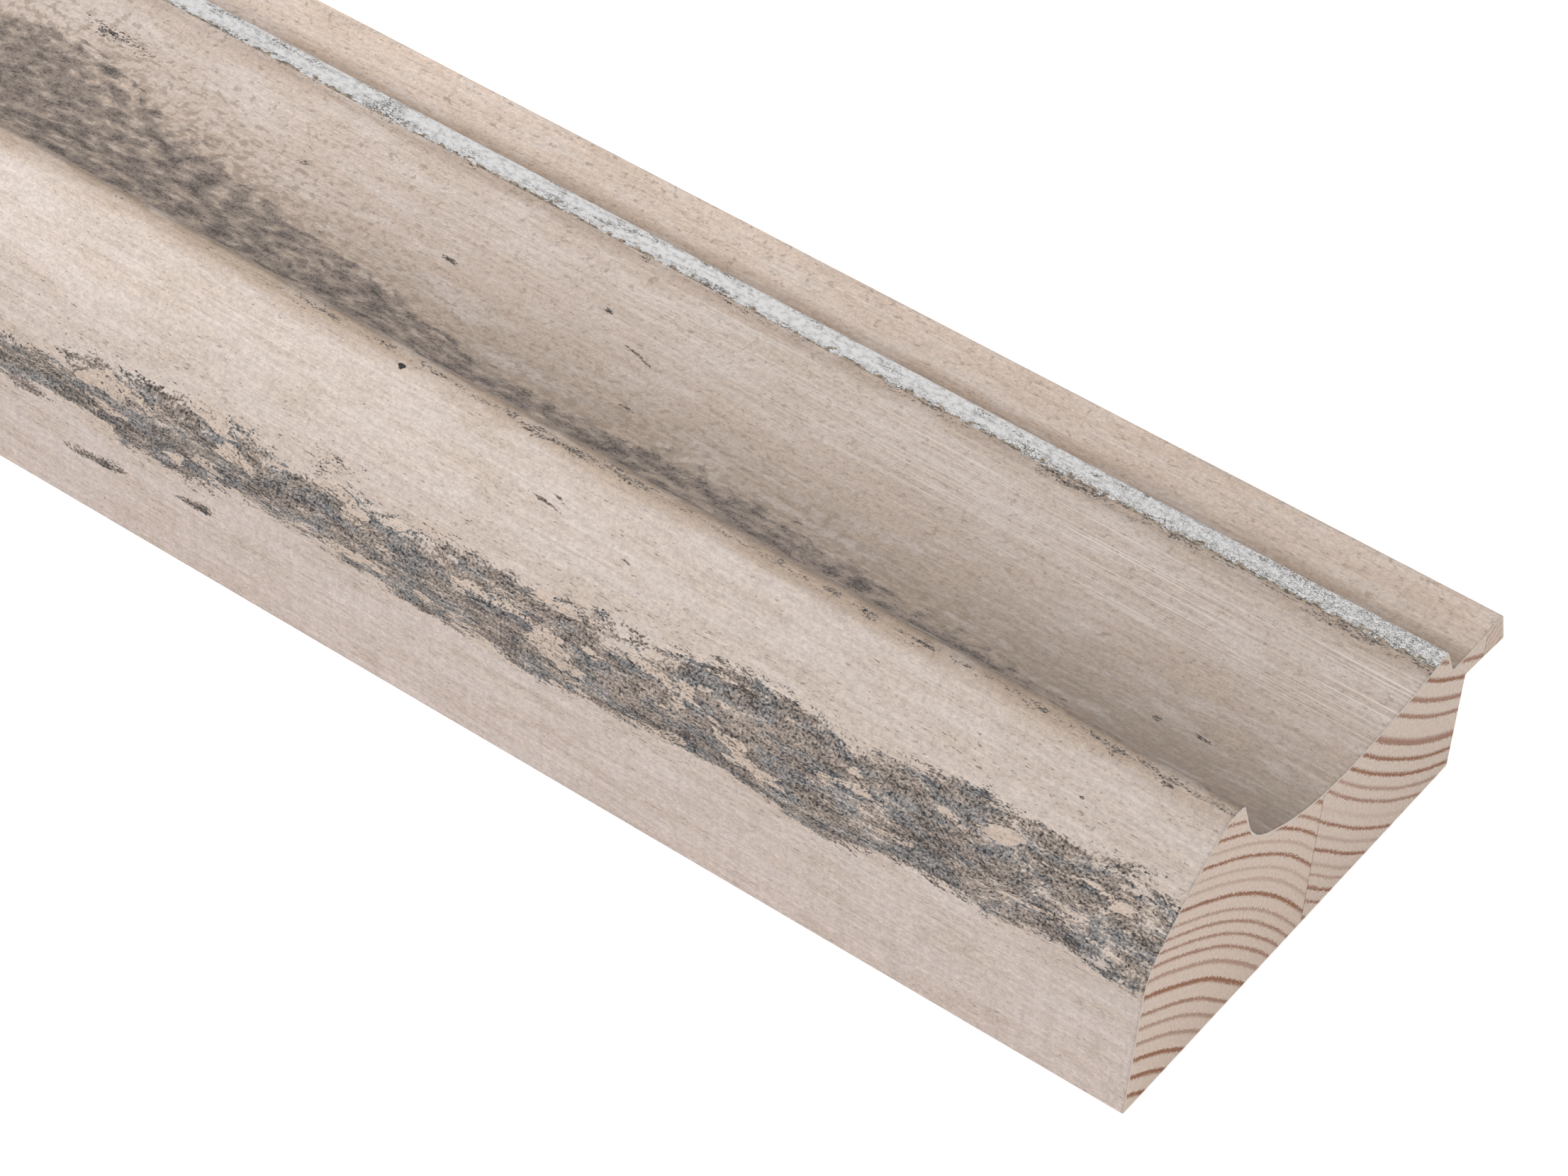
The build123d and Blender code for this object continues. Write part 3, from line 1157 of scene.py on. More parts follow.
def line_mesh(name: str, points: list[Vector], numbers: dict[str, list[float]],
              outward: list[Vector]) -> bpy.types.Mesh:
    """Make a mesh of single points on the section, in order, for a tree to run along the stick.

    Args:
        name: The mesh's name.
        points: The points as (X, Z).
        numbers: A number for each point, by attribute name.
        outward: The direction out of the wood at each point.

    Returns:
        The mesh.
    """
    mesh = bpy.data.meshes.new(name)
    mesh.from_pydata([(point.x, 0.0, point.y) for point in points], [], [])
    for label, values in numbers.items():
        mesh.attributes.new(label, "FLOAT", "POINT").data.foreach_set("value", values)
    flat = [part for way in outward for part in (way.x, 0.0, way.y)]
    mesh.attributes.new("outward", "FLOAT_VECTOR", "POINT").data.foreach_set("vector", flat)
    return mesh


def run_along(tree: bpy.types.NodeTree, sizes: bpy.types.Node) -> tuple[bpy.types.Node, dict[str, Any]]:
    """Add the nodes that run a line of points along the stick as a sheet of faces.

    Args:
        tree: The tree that gets them.
        sizes: The tree's input node, with the columns and steps of the near and the far stretch.

    Returns:
        The node that gives the sheet, and the fields that tell each of its points' places.
    """
    rows = add(tree, "GeometryNodeAttributeDomainSize", sizes.outputs["Geometry"]).outputs["Point Count"]
    near, far = sizes.outputs["Near columns"], sizes.outputs["Far columns"]
    steps = add(tree, "FunctionNodeIntegerMath", near, far, operation="ADD")
    columns = add(tree, "FunctionNodeIntegerMath", steps, 1, operation="ADD")
    grid = add(tree, "GeometryNodeMeshGrid", 1.0, 1.0, rows, columns)
    index = add(tree, "GeometryNodeInputIndex")
    row = add(tree, "FunctionNodeIntegerMath", index, columns, operation="DIVIDE_FLOOR")
    column = add(tree, "FunctionNodeIntegerMath", index, columns, operation="MODULO")
    near_steps = add(tree, MATH, column, near, operation="MINIMUM")
    far_steps = add(tree, MATH, add(tree, MATH, column, near, operation="SUBTRACT"), 0.0,
                    operation="MAXIMUM")
    near_run = add(tree, MATH, near_steps, sizes.outputs["Near step"], operation="MULTIPLY")
    along = add(tree, MATH, far_steps, sizes.outputs["Far step"], near_run, operation="MULTIPLY_ADD")
    here = add(tree, "GeometryNodeInputPosition")
    point = add(tree, "GeometryNodeSampleIndex", sizes.outputs["Geometry"], here, row,
                data_type="FLOAT_VECTOR")
    parts = add(tree, SEPARATE, point)
    place = add(tree, COMBINE, parts.outputs["X"], along, parts.outputs["Z"])
    fields: dict[str, Any] = {"place": place, "along": along}
    for label, data_type in (("across", "FLOAT"), ("outward", "FLOAT_VECTOR")):
        named = add(tree, NAMED, label, data_type=data_type)
        fields[label] = add(tree, "GeometryNodeSampleIndex", sizes.outputs["Geometry"], named, row,
                            data_type=data_type)
    return grid.outputs["Mesh"], fields


@dataclass(frozen=True)
class Stick:
    """How the stick is divided along its length.

    The near stretch, which the camera looks at, has closer columns than the rest.
    """

    length: float
    near_length: float = 231.0
    near_step: float = 0.55
    far_step: float = 3.0

    def sizes(self) -> dict[str, Any]:
        """The columns and steps as a tree's inputs.

        Returns:
            The values by the inputs' names.
        """
        near_columns = round(self.near_length / self.near_step)
        far_columns = round((self.length - self.near_length) / self.far_step)
        return {
            "Near columns": near_columns,
            "Far columns": far_columns,
            "Near step": self.near_length / near_columns,
            "Far step": (self.length - self.near_length) / far_columns,
        }


STICK_INPUTS = {"Near columns": Input.COUNT, "Far columns": Input.COUNT,
                "Near step": Input.SIZE, "Far step": Input.SIZE}


def place_in_row(tree: bpy.types.NodeTree, geometry: Any, section: Section) -> bpy.types.Node:
    """Add the node that moves a piece from the section's frame to the row's, in metres.

    Args:
        tree: The tree that gets it.
        geometry: The piece.
        section: The section.

    Returns:
        The node that gives the moved piece.
    """
    to_row = (-section.overall_width / 2 * MM, -section.stick_length / 2 * MM, 0.0)
    return add(tree, "GeometryNodeTransform", {"Geometry": geometry, "Translation": to_row,
                                               "Scale": (MM, MM, MM)})


@dataclass(frozen=True)
class Coat:
    """A strip of the face's coat, run along the whole stick as a thin closed shell.

    Attributes:
        name: The piece's name.
        start: Where it starts over the face.
        end: Where it ends over the face.
        row_step: How far apart its rows of points are.
        slot: The finish of its outside, by name.
        border: How far from its borders it has one more row, which keeps the shading even up to them.
    """

    name: str
    start: float
    end: float
    row_step: float
    slot: str = "painted_face"
    border: float = 0.03

    def line(self, face: FaceLine) -> bpy.types.Mesh:
        """The strip's points over the face.

        Args:
            face: The face's line.

        Returns:
            The mesh of points.
        """
        steps = max(2, round((self.end - self.start) / self.row_step))
        across = [self.start + (self.end - self.start) * step / steps for step in range(steps + 1)]
        across[1:1] = [self.start + self.border]
        across[-1:-1] = [self.end - self.border]
        walked = [face.walk(place) for place in across]
        return line_mesh(self.name, [point for point, _ in walked], {"across": across},
                         [way for _, way in walked])

    def build(self, face: FaceLine, stick: Stick, tree: bpy.types.NodeTree, sizes: dict[str, Any],
              finish: bpy.types.Material, ground: bpy.types.Material) -> bpy.types.Object:
        """Make the strip and hang it on the root body.

        Args:
            face: The face's line.
            stick: How the stick is divided.
            tree: The coat's tree.
            sizes: The coat's own sizes.
            finish: The material of its outside.
            ground: The material of its edges and underside.

        Returns:
            The piece.
        """
        values = {**stick.sizes(), **sizes, "Start": self.start, "Width": self.end - self.start,
                  "Finish": finish, "Ground": ground}
        piece = run_tree(self.name, self.line(face), tree, values)
        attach(piece, "root")
        return piece


@dataclass(frozen=True)
class Face:
    """The painted face: gesso, distressed paint and the silver leaf on the ridge.

    Attributes:
        section: The section.
        face: The face's line.
        stick: How the stick is divided.
        wear: Where the face is worn.
        thickness: The coat's thickness.
        wear_depth: How deep the coat is worn.
        grain_depth: How deep the wood's grain shows in it.
        hole_depth: How deep the nail hole is.
        leaf_start: Where the silver leaf starts over the face.
        leaf_end: Where it ends.
        folds: How many rows the strips' flat maps are folded into.
    """

    section: Section
    face: FaceLine
    stick: Stick
    wear: Wear
    thickness: float = 0.3
    wear_depth: float = 0.12
    grain_depth: float = 0.03
    hole_depth: float = 0.22
    leaf_start: float = 93.7
    leaf_end: float = 97.6
    folds: int = 9

    def relief(self, tree: bpy.types.NodeTree, sheet: Any, sizes: bpy.types.Node) -> bpy.types.Node:
        """Add the nodes that give how far the coat lies below the section's own line.

        Args:
            tree: The tree that gets them.
            sheet: The place on the face.
            sizes: The tree's input node.

        Returns:
            The node that gives the depth.
        """
        grain = Mottle(9, 0.9, 2, 0.5, 61).lay(tree, sheet)
        depth = add(tree, MATH, grain, sizes.outputs["Grain depth"], operation="MULTIPLY")
        rough = add(tree, RANGE, Mottle(3, 1.2, 3, 0.6, 62).lay(tree, sheet), 0.3, 0.7)
        along = add(tree, SEPARATE, sheet).outputs["X"]
        across = add(tree, SEPARATE, self.wear.swayed(tree, sheet)).outputs["Y"]
        for band in (self.wear.shoulder, self.wear.scoop):
            share = band.share(tree, along, across, self.wear.length)
            worn = add(tree, MATH, share, rough, operation="MULTIPLY")
            depth = add(tree, MATH, worn, sizes.outputs["Wear depth"], depth, operation="MULTIPLY_ADD")
        hole = self.wear.nearness(tree, sheet, (self.wear.nail_hole,))
        depth = add(tree, MATH, hole, sizes.outputs["Hole depth"], depth, operation="MULTIPLY_ADD")
        limit = add(tree, MATH, sizes.outputs["Thickness"], 0.9, operation="MULTIPLY")
        return add(tree, MATH, depth, limit, operation="MINIMUM")

    def coat_tree(self) -> bpy.types.NodeTree:
        """The tree that turns a line of points over the face into a closed strip of coat.

        Returns:
            The tree.
        """
        inputs = {**STICK_INPUTS, "Thickness": Input.SIZE, "Wear depth": Input.SIZE,
                  "Grain depth": Input.SIZE, "Hole depth": Input.SIZE, "Start": Input.SIZE,
                  "Width": Input.SIZE, "Folds": Input.COUNT, "Finish": Input.FINISH,
                  "Ground": Input.FINISH}
        tree, sizes = new_tree("coat_strip", inputs)
        grid, fields = run_along(tree, sizes)
        sheet = add(tree, COMBINE, fields["along"], fields["across"], 0.0)
        kept: Any = grid
        for label, value in (("sheet", sheet), ("skin", fields["place"]), ("outward", fields["outward"])):
            kept = add(tree, STORE, kept, None, label, value,
                       data_type="FLOAT_VECTOR")
        read = {
            label: add(tree, NAMED, label, data_type="FLOAT_VECTOR")
            for label in ("sheet", "skin", "outward")
        }

        # The underside lies one thickness below the face, and the outside as deep as its relief
        inward = add(tree, VECTOR_MATH, read["outward"], {"Scale": sizes.outputs["Thickness"]},
                     operation="SCALE")
        under = add(tree, VECTOR_MATH, read["skin"], inward, operation="SUBTRACT")
        base = add(tree, MOVE, {"Geometry": kept, "Position": under})
        raised = add(tree, "GeometryNodeExtrudeMesh", {"Mesh": base, "Individual": False,
                                                       "Offset": read["outward"]}, mode="FACES")
        top = raised.outputs["Top"]
        depth = self.relief(tree, read["sheet"], sizes)
        sunk = add(tree, VECTOR_MATH, read["outward"], {"Scale": depth}, operation="SCALE")
        shell = add(tree, MOVE, {
            "Geometry": raised.outputs["Mesh"], "Selection": top,
            "Position": add(tree, VECTOR_MATH, read["skin"], sunk, operation="SUBTRACT")})
        shell = add(tree, STORE, shell, top, "layer", 1.0, data_type="FLOAT")
        underside = add(tree, "GeometryNodeFlipFaces", base)
        joined = add(tree, "GeometryNodeJoinGeometry")
        for part in (underside, shell):
            tree.links.new(part.outputs[0], joined.inputs[0])
        at = add(tree, SEPARATE, add(tree, "GeometryNodeInputPosition"))
        height = add(tree, MATH, at.outputs["Z"], 0.0, operation="MAXIMUM")
        standing = add(tree, MOVE, {
            "Geometry": joined, "Position": add(tree, COMBINE, at.outputs["X"], at.outputs["Y"], height)})
        whole = self.bake_map(tree, standing, sizes, top)
        whole = add(tree, "GeometryNodeMergeByDistance", {"Geometry": whole, "Distance": 0.002})
        whole = add(tree, "GeometryNodeSetShadeSmooth", {"Geometry": whole, "Shade Smooth": top})
        for label in ("skin", "outward", "layer"):
            whole = add(tree, "GeometryNodeRemoveAttribute", {"Geometry": whole, "Name": label})
        placed = place_in_row(tree, whole, self.section)
        real = add(tree, "GeometryNodeRealizeInstances", placed)
        dressed = add(tree, "GeometryNodeSetMaterial", {"Geometry": real,
                                                        "Material": sizes.outputs["Ground"]})
        dressed = add(tree, "GeometryNodeSetMaterial", {"Geometry": dressed, "Selection": top,
                                                        "Material": sizes.outputs["Finish"]})
        add(tree, "NodeGroupOutput", dressed)
        return tree

    def bake_map(self, tree: bpy.types.NodeTree, geometry: Any, sizes: bpy.types.Node,
                 top: Any) -> bpy.types.Node:
        """Add the nodes that lay the strip out flat, folded into rows, as a map for baked pictures.

        Args:
            tree: The tree that gets them.
            geometry: The strip.
            sizes: The tree's input node.
            top: Whether a face is on the outside.

        Returns:
            The node that gives the strip with its map.
        """
        margin = 0.008  # free at both ends of a row
        overlap = 0.03  # how far a face may reach past its row's ends
        gap = 0.03  # free at both sides of a row
        outside_share = 0.93  # the outside's part of the map's height
        strip = (0.945, 0.965)  # the underside's place over it
        skin_shift = (0.012, 0.018)  # how far the edges' upper points lie from the underside
        length = self.section.stick_length
        read = add(tree, SEPARATE, add(tree, NAMED, "sheet",
                                       data_type="FLOAT_VECTOR"))
        layer = add(tree, NAMED, "layer", data_type="FLOAT")
        along = read.outputs["X"]
        over = add(tree, MATH, add(tree, MATH, read.outputs["Y"], sizes.outputs["Start"],
                                   operation="SUBTRACT"), sizes.outputs["Width"], operation="DIVIDE")
        folds = sizes.outputs["Folds"]
        turns = add(tree, MATH, add(tree, MATH, along, length, operation="DIVIDE"), folds,
                    operation="MULTIPLY")
        of_face = add(tree, "GeometryNodeFieldOnDomain", turns, data_type="FLOAT", domain="FACE")
        fold = add(tree, MATH, of_face, operation="FLOOR")
        within = add(tree, MATH, turns, fold, operation="SUBTRACT")
        right = add(tree, RANGE, {"Value": within, "From Min": -overlap, "From Max": 1 + overlap,
                                  "To Min": margin, "To Max": 1 - margin})
        row = add(tree, RANGE, {"Value": over, "To Min": gap, "To Max": 1 - gap})
        up = add(tree, MATH, add(tree, MATH, fold, row, operation="ADD"), folds, operation="DIVIDE")
        up = add(tree, MATH, up, outside_share, operation="MULTIPLY")
        outside = add(tree, COMBINE, right, up, 0.0)
        hidden_right = add(tree, RANGE, {"Value": along, "From Max": length, "To Min": 0.01,
                                         "To Max": 0.96})
        hidden_right = add(tree, MATH, layer, skin_shift[0], hidden_right, operation="MULTIPLY_ADD")
        hidden_up = add(tree, RANGE, {"Value": over, "To Min": strip[0], "To Max": strip[1]})
        hidden_up = add(tree, MATH, layer, skin_shift[1], hidden_up, operation="MULTIPLY_ADD")
        hidden = add(tree, COMBINE, hidden_right, hidden_up, 0.0)
        chosen = add(tree, "GeometryNodeSwitch", top, hidden, outside, input_type="VECTOR")
        return add(tree, STORE, geometry, None, "OFBake", chosen,
                   data_type="FLOAT2", domain="CORNER")

    def build(self) -> list[bpy.types.Object]:
        """Make every strip of the coat and the leaf.

        Returns:
            The pieces.
        """
        tree = self.coat_tree()
        paint = DistressedPaint(self.wear).material()
        gesso = Gesso().material()
        leaf = SilverLeaf().material()
        sizes = {"Thickness": self.thickness, "Wear depth": self.wear_depth,
                 "Grain depth": self.grain_depth, "Hole depth": self.hole_depth, "Folds": self.folds}
        finishes = {"painted_face": paint, "silver_leaf": leaf}
        strips = (
            Coat("outer_wall_coat", 0.0, 17.0, 0.6),
            Coat("shoulder_coat", 17.0, 33.0, 0.45),
            Coat("crest_coat", 33.0, 46.0, 0.4),
            Coat("quirk_coat", 46.0, 70.0, 0.6),
            Coat("scoop_coat", 70.0, self.leaf_start, 0.6),
            Coat("lip_coat", self.leaf_end, self.face.length, 0.4),
            Coat("silver_leaf_line", self.leaf_start, self.leaf_end, 0.15, "silver_leaf"),
        )
        return [strip.build(self.face, self.stick, tree, sizes, finishes[strip.slot], gesso)
                for strip in strips]


@dataclass(frozen=True)
class Stave:
    """One of the softwood staves that the stick is glued up from.

    Attributes:
        node: The CAD node that it stands for.
        start: Where it starts across the section.
        end: Where it ends across the section.
        wood: Its wood.
        segments: How many lengths it is run in.
        row_step: How far apart its points under the coat are.
        hidden_weight: How much room its covered sides get in its flat map, next to the bare ones.
    """

    node: str
    start: float
    end: float
    wood: Pine
    segments: int = 8
    row_step: float = 0.5
    hidden_weight: float = 0.08

    def outline(self, section: Section, face: FaceLine, coat: float) -> tuple[list[Vector], int]:
        """The stave's outline, from the bottom of its first side up and over the face.

        Args:
            section: The section.
            face: The face's line.
            coat: The coat's thickness, which the stave stays under.

        Returns:
            The outline's points, and how many of them lie under the coat.
        """
        covered: list[Vector] = []
        first = face.across_at(self.start, coat) if self.start else 0.0
        last = face.across_at(self.end, coat) if self.end < section.overall_width else face.length
        steps = max(2, round((last - first) / self.row_step))
        for step in range(steps + 1):
            point, outward = face.walk(first + (last - first) * step / steps)
            covered.append(point - coat * outward)
        if not self.start:
            covered[0].y = 0.0
        else:
            covered[0].x = self.start
        undercut = section.lip_undercut / section.rabbet_width
        bottom: list[Vector] = []
        if self.end < section.overall_width:
            covered[-1].x = self.end
            over_rabbet = self.end - section.back_width
            foot = section.rabbet_height - undercut * over_rabbet if over_rabbet > 0 else 0.0
            bottom.append(Vector((self.end, foot)))
        if self.start < section.back_width < self.end:
            bottom.append(Vector((section.back_width, section.rabbet_height)))
            bottom.append(Vector((section.back_width, 0.0)))
        if self.start > section.back_width:
            foot = section.rabbet_height - undercut * (self.start - section.back_width)
            bottom.append(Vector((self.start, foot)))
        elif self.start:
            bottom.append(Vector((self.start, 0.0)))
        return covered + bottom, len(covered)

    def build(self, section: Section, face: FaceLine, coat: float,
              tree: bpy.types.NodeTree) -> bpy.types.Object:
        """Make the stave in place of its CAD node.

        Args:
            section: The section.
            face: The face's line.
            coat: The coat's thickness.
            tree: The stave's tree.

        Returns:
            The piece.
        """
        points, covered = self.outline(section, face, coat)
        loop = points + points[:1]
        lengths = [0.0]
        for number, (before, after) in enumerate(zip(loop, loop[1:])):
            weight = self.hidden_weight if number < covered - 1 else 1.0
            lengths.append(lengths[-1] + (after - before).length * weight)
        around = [length / lengths[-1] for length in lengths]
        source = line_mesh(self.node, loop, {"across": around}, [Vector((0.0, 0.0))] * len(loop))
        left, bottom = min(p.x for p in points), min(p.y for p in points)
        size = max(max(p.x for p in points) - left, max(p.y for p in points) - bottom)
        values = {"Near columns": self.segments // 2, "Far columns": self.segments - self.segments // 2,
                  "Near step": section.stick_length / self.segments,
                  "Far step": section.stick_length / self.segments,
                  "Segments": self.segments, "Left": left, "Bottom": bottom, "End size": size,
                  "Wood": self.wood.material(section)}
        piece = run_tree(f"{self.node}_wood", source, tree, values)
        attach(piece, "root")
        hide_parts(self.node)
        return piece


@dataclass(frozen=True)
class Staves:
    """The glued-up wood under the coat.

    Attributes:
        section: The section.
        face: The face's line.
        coat: The coat's thickness.
    """

    section: Section
    face: FaceLine
    coat: float

    def tree(self) -> bpy.types.NodeTree:
        """The tree that runs a stave's outline along the stick and closes its ends.

        Returns:
            The tree.
        """
        inputs = {**STICK_INPUTS, "Segments": Input.COUNT, "Left": Input.SIZE, "Bottom": Input.SIZE,
                  "End size": Input.SIZE, "Wood": Input.FINISH}
        tree, sizes = new_tree("stave", inputs)
        grid, fields = run_along(tree, sizes)
        length = self.section.stick_length
        sides = add(tree, STORE, grid, None, "around", fields["across"],
                    data_type="FLOAT")
        sides = add(tree, MOVE, {"Geometry": sides, "Position": fields["place"]})

        # The sides lie in the map's upper half, in two rows of four folds
        margin, per_row, row_height, halfway = 0.02, 4.0, 0.25, 0.5
        here = add(tree, SEPARATE, add(tree, "GeometryNodeInputPosition"))
        around = add(tree, NAMED, "around", data_type="FLOAT")
        turns = add(tree, MATH, add(tree, MATH, here.outputs["Y"], length, operation="DIVIDE"),
                    sizes.outputs["Segments"], operation="MULTIPLY")
        of_face = add(tree, "GeometryNodeFieldOnDomain", turns, data_type="FLOAT", domain="FACE")
        fold = add(tree, MATH, of_face, operation="FLOOR")
        within = add(tree, RANGE, {"Value": add(tree, MATH, turns, fold, operation="SUBTRACT"),
                                   "To Min": margin, "To Max": 1 - margin})
        column = add(tree, MATH, fold, per_row, operation="MODULO")
        shelf = add(tree, MATH, add(tree, MATH, fold, per_row, operation="DIVIDE"), operation="FLOOR")
        right = add(tree, MATH, add(tree, MATH, column, within, operation="ADD"), per_row,
                    operation="DIVIDE")
        rise = add(tree, RANGE, {"Value": around, "To Min": margin, "To Max": 1 - margin})
        up = add(tree, MATH, add(tree, MATH, shelf, rise, operation="ADD"), row_height, halfway,
                 operation="MULTIPLY_ADD")
        sides = add(tree, STORE, sides, None, "OFBake",
                    add(tree, COMBINE, right, up, 0.0), data_type="FLOAT2", domain="CORNER")

        # The near end has most of the lower half, the far end a corner of it
        ends = []
        lift = 0.005
        rows = add(tree, "GeometryNodeAttributeDomainSize", sizes.outputs["Geometry"])
        corners = add(tree, "FunctionNodeIntegerMath", rows.outputs["Point Count"], 1,
                      operation="SUBTRACT")
        ring = add(tree, "GeometryNodeCurvePrimitiveCircle", corners)
        index = add(tree, "GeometryNodeInputIndex")
        read = add(tree, "GeometryNodeInputPosition")
        point = add(tree, SEPARATE, add(tree, "GeometryNodeSampleIndex", sizes.outputs["Geometry"], read,
                                        index, data_type="FLOAT_VECTOR"))
        flat = add(tree, COMBINE, point.outputs["X"], point.outputs["Z"], 0.0)
        ring = add(tree, MOVE, {"Geometry": ring.outputs["Curve"], "Position": flat})
        cap = add(tree, "GeometryNodeFillCurve", ring, mode="NGONS")
        for along, offset, scale in ((0.0, lift, 0.485), (length, 0.5, 0.3)):
            local = add(tree, SEPARATE, add(tree, "GeometryNodeInputPosition"))
            shares = []
            for axis, low, shift in (("X", "Left", offset), ("Y", "Bottom", lift)):
                share = add(tree, MATH, local.outputs[axis], sizes.outputs[low], operation="SUBTRACT")
                share = add(tree, MATH, share, sizes.outputs["End size"], operation="DIVIDE")
                shares.append(add(tree, MATH, share, scale, shift, operation="MULTIPLY_ADD"))
            mapped = add(tree, COMBINE, *shares, 0.0)
            end = add(tree, STORE, cap, None, "OFBake", mapped,
                      data_type="FLOAT2", domain="CORNER")
            stood = add(tree, COMBINE, local.outputs["X"], along, local.outputs["Y"])
            end = add(tree, MOVE, {"Geometry": end, "Position": stood})
            ends.append(end)
        ends[1] = add(tree, "GeometryNodeFlipFaces", ends[1])
        joined = add(tree, "GeometryNodeJoinGeometry")
        for part in (sides, *ends):
            tree.links.new(part.outputs[0], joined.inputs[0])
        whole = add(tree, "GeometryNodeMergeByDistance", {"Geometry": joined, "Distance": 0.002})
        whole = add(tree, "GeometryNodeRemoveAttribute", {"Geometry": whole, "Name": "around"})
        whole = add(tree, "GeometryNodeSetShadeSmooth", {"Geometry": whole, "Shade Smooth": False})
        placed = place_in_row(tree, whole, self.section)
        real = add(tree, "GeometryNodeRealizeInstances", placed)
        add(tree, "NodeGroupOutput", add(tree, "GeometryNodeSetMaterial", {
            "Geometry": real, "Material": sizes.outputs["Wood"]}))
        return tree

    def build(self) -> list[bpy.types.Object]:
        """Make the three staves.

        Returns:
            The pieces.
        """
        strong, plain, weak, faint, barely = 1.0, 0.82, 0.62, 0.36, 0.15
        front_wood = Pine("front", (-38.0, -56.0), (
            Ring(68.0, plain), Ring(70.4, strong), Ring(73.0, strong), Ring(75.5, strong),
            Ring(77.8, weak), Ring(79.9, weak), Ring(81.9, plain), Ring(84.5, strong), Ring(86.8, weak),
            Ring(88.6, plain), Ring(90.2, plain), Ring(91.8, plain), Ring(93.3, weak), Ring(95.3, strong),
            Ring(97.1, faint), Ring(98.5, faint), Ring(100.2, strong), Ring(101.8, faint),
            Ring(103.4, strong), Ring(105.1, plain), Ring(107.3, plain)))
        middle_wood = Pine("middle", (119.0, 94.0), (
            Ring(88.5, plain), Ring(91.0, plain), Ring(93.3, strong), Ring(96.0, plain), Ring(98.1, plain),
            Ring(101.7, plain), Ring(103.7, strong), Ring(105.7, strong), Ring(107.5, weak),
            Ring(109.1, plain), Ring(111.1, barely), Ring(112.6, strong), Ring(114.3, faint),
            Ring(115.9, strong), Ring(117.8, faint), Ring(119.0, weak), Ring(120.7, strong),
            Ring(122.3, plain), Ring(124.5, plain)), early="#d5c2b4")
        lip_wood = Pine("lip", (105.9, -33.6), (
            Ring(54.0, faint), Ring(55.4, faint), Ring(56.7, weak), Ring(58.1, faint), Ring(59.4, faint),
            Ring(60.6, weak), Ring(62.0, faint), Ring(63.3, faint), Ring(64.8, faint)), early="#cebaab")
        first, second = self.section.glue_lines
        staves = (
            Stave("front_stave", 0.0, first, front_wood),
            Stave("middle_stave", first, second, middle_wood),
            Stave("lip_stave", second, self.section.overall_width, lip_wood),
        )
        tree = self.tree()
        return [stave.build(self.section, self.face, self.coat, tree) for stave in staves]


@dataclass(frozen=True)
class Lamp:
    """A square soft lamp: its name, its place and size in millimetres, and its power in watts."""

    name: str
    place: tuple[float, float, float]
    power: float
    size: float


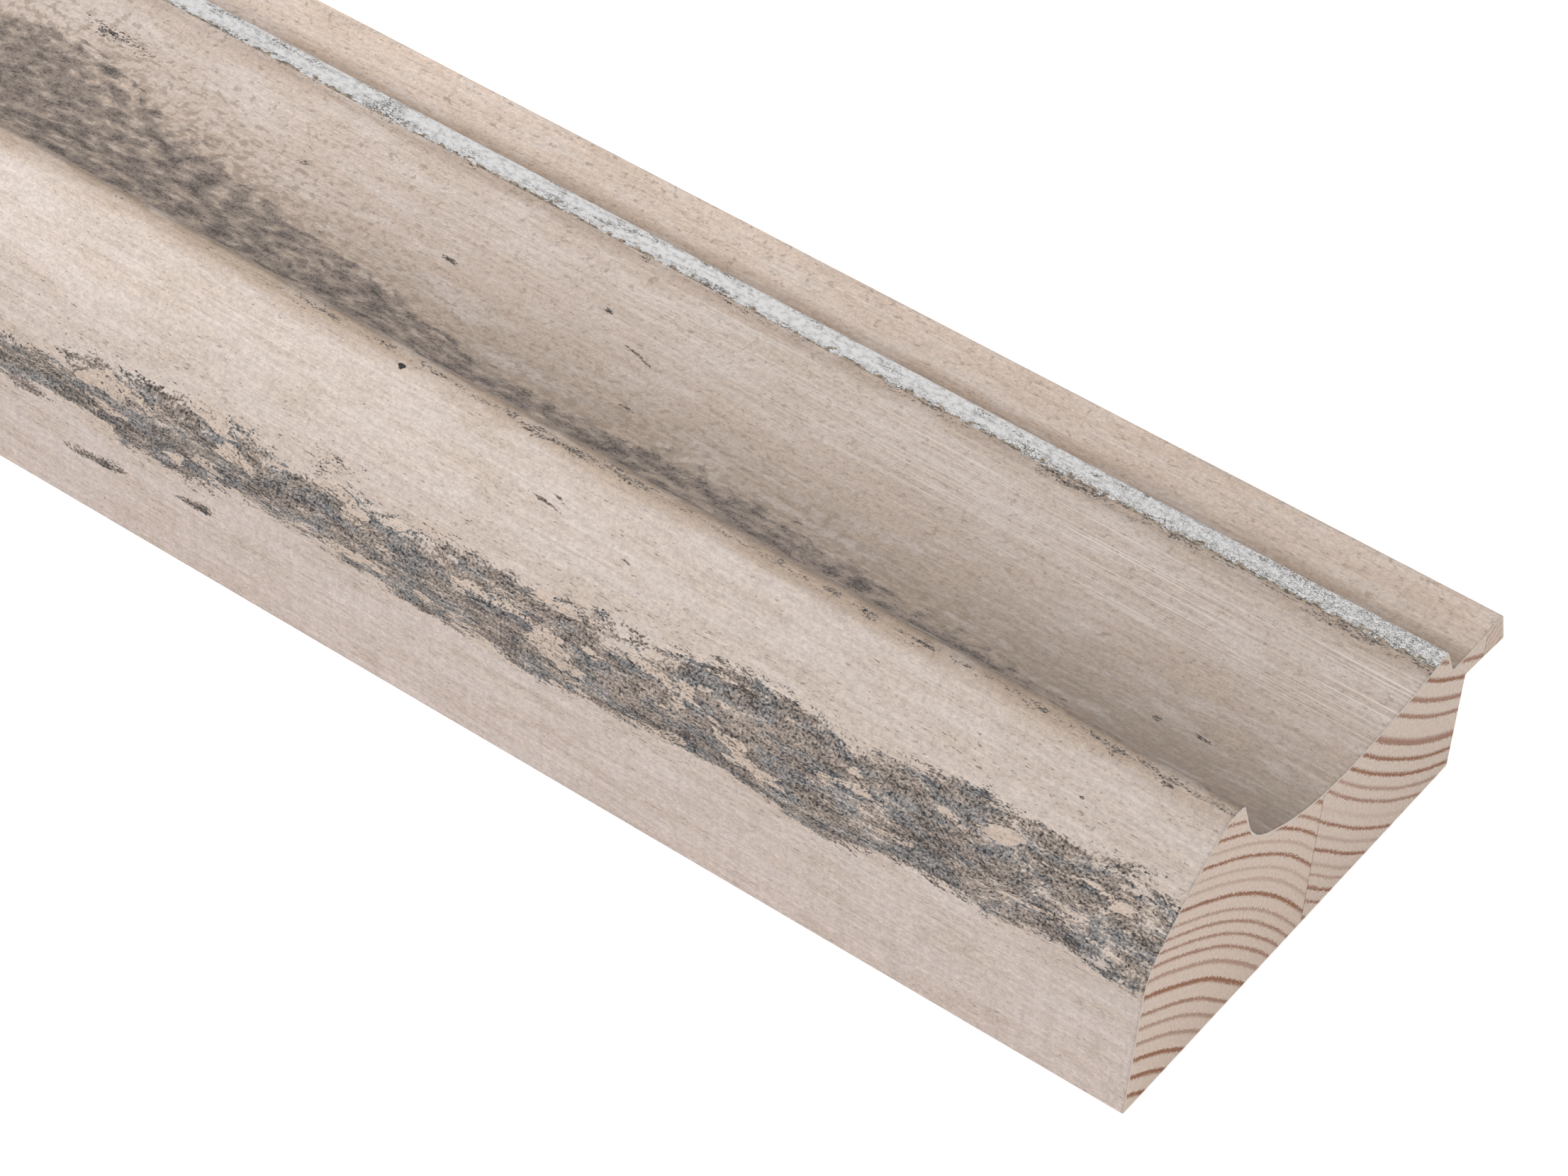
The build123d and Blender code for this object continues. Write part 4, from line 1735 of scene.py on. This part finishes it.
@dataclass(frozen=True)
class Studio:
    """A plain pale floor, soft light and a camera where the photograph was taken from.

    Attributes:
        camera_place: Where the camera stands.
        camera_pan: Which way it looks, in degrees from +X towards +Y.
        camera_tilt: How far it looks up, in degrees.
        camera_roll: How far it is turned about its own line of sight, in degrees.
        lens: Its focal length.
        sensor: Its sensor's width.
        daylight: How bright the light from all round is.
        lamps: The lamps.
        aim: The place that the lamps look at.
        paper: The floor's colour.
        floor_reach: How far the floor reaches to each side.
        floor_depth: How far it lies under the stick.
        floor_glow: How much white it adds to its own colour for the camera.
    """

    camera_place: tuple[float, float, float] = (-362.7, -774.0, 422.3)
    camera_pan: float = 33.609
    camera_tilt: float = -43.798
    camera_roll: float = 4.286
    lens: float = 113.92
    sensor: float = 36.0
    daylight: float = 0.70
    lamps: tuple[Lamp, ...] = (Lamp("key", (-1000.0, 400.0, 1200.0), 13.5, 1400.0),
                               Lamp("fill", (-300.0, -2300.0, 900.0), 4.5, 1200.0))
    aim: tuple[float, float, float] = (0.0, -450.0, 0.0)
    paper: str = "#eeeeee"
    floor_reach: float = 4000.0
    floor_depth: float = 0.2
    floor_glow: float = 0.55

    def camera(self) -> None:
        """Put the camera where the photograph was taken from."""
        camera = bpy.data.cameras.new("camera")
        camera.lens = self.lens
        camera.sensor_width = self.sensor
        camera.clip_start = 0.01
        shooter = bpy.data.objects.new("camera", camera)
        shooter.location = [part * MM for part in self.camera_place]
        tilt = math.radians(90 + self.camera_tilt)
        turned = Euler((tilt, 0.0, math.radians(self.camera_pan - 90))).to_matrix()
        rolled = turned @ Euler((0.0, 0.0, math.radians(self.camera_roll))).to_matrix()
        shooter.rotation_euler = rolled.to_euler()
        bpy.context.scene.collection.objects.link(shooter)
        bpy.context.scene.camera = shooter

    def seen_rays(self, tree: bpy.types.NodeTree) -> bpy.types.Node:
        """Add the nodes that tell the rays that show the background.

        Args:
            tree: The node tree that gets them.

        Returns:
            The node that gives 1 for a ray from the camera, off a gloss or through glass, and else 0.
        """
        rays = add(tree, "ShaderNodeLightPath")
        seen = add(tree, MATH, rays.outputs["Is Camera Ray"], rays.outputs["Is Glossy Ray"],
                   operation="MAXIMUM")
        return add(tree, MATH, seen, rays.outputs["Is Transmission Ray"], operation="MAXIMUM")

    def world(self) -> None:
        """Light the scene evenly, and show white where nothing stands."""
        world = bpy.data.worlds.new("studio")
        world.use_nodes = True
        tree = world.node_tree
        tree.nodes.clear()
        level = add(tree, RANGE, {"Value": self.seen_rays(tree), "To Min": self.daylight, "To Max": 1.0})
        add(tree, "ShaderNodeOutputWorld", {"Surface": add(tree, "ShaderNodeBackground", {
            "Color": (1.0, 1.0, 1.0, 1.0), "Strength": level})})
        bpy.context.scene.world = world

    def lamp(self, lamp: Lamp) -> None:
        """Hang a large soft lamp.

        Args:
            lamp: The lamp.
        """
        light = bpy.data.lights.new(lamp.name, "AREA")
        light.shape = "SQUARE"
        light.size = lamp.size * MM
        light.energy = lamp.power
        holder = bpy.data.objects.new(lamp.name, light)
        holder.location = [part * MM for part in lamp.place]
        way = Vector(self.aim) * MM - holder.location
        holder.rotation_euler = way.to_track_quat("-Z", "Y").to_euler()
        bpy.context.scene.collection.objects.link(holder)

    def floor(self) -> None:
        """Lay a white floor that keeps the stick's shadow."""
        reach, height = self.floor_reach * MM, -self.floor_depth * MM
        mesh = bpy.data.meshes.new("floor")
        mesh.from_pydata([(-reach, -reach, height), (reach, -reach, height), (reach, reach, height),
                          (-reach, reach, height)], [], [(0, 1, 2, 3)])
        floor = bpy.data.objects.new("floor", mesh)
        bpy.context.scene.collection.objects.link(floor)
        material, tree, shader = fresh_material("white_paper_floor")
        shader.inputs["Base Color"].default_value = srgb(self.paper)
        shader.inputs["Roughness"].default_value = 0.9
        shader.inputs["Emission Color"].default_value = (1.0, 1.0, 1.0, 1.0)
        glow = add(tree, MATH, self.seen_rays(tree), self.floor_glow, operation="MULTIPLY")
        tree.links.new(glow.outputs["Value"], shader.inputs["Emission Strength"])
        mesh.materials.append(material)

    def build(self) -> None:
        """Set the studio up."""
        self.camera()
        self.world()
        for lamp in self.lamps:
            self.lamp(lamp)
        self.floor()
        bpy.context.scene.view_settings.view_transform = "Standard"


def main() -> None:
    """Build the staves, the face and the studio."""
    logging.basicConfig(level=logging.INFO, format="%(name)s %(message)s")
    section = Section()
    face_line = FaceLine(section)
    LOG.info("face line: %.2f mm", face_line.length)
    stick = Stick(section.stick_length)
    wear = Wear(section.stick_length)
    face = Face(section, face_line, stick, wear)
    staves = Staves(section, face_line, face.thickness)
    for piece in staves.build() + face.build():
        LOG.info("built %s: %d faces", piece.name, len(piece.data.polygons))
    Studio().build()


if __name__ == "__main__":
    main()
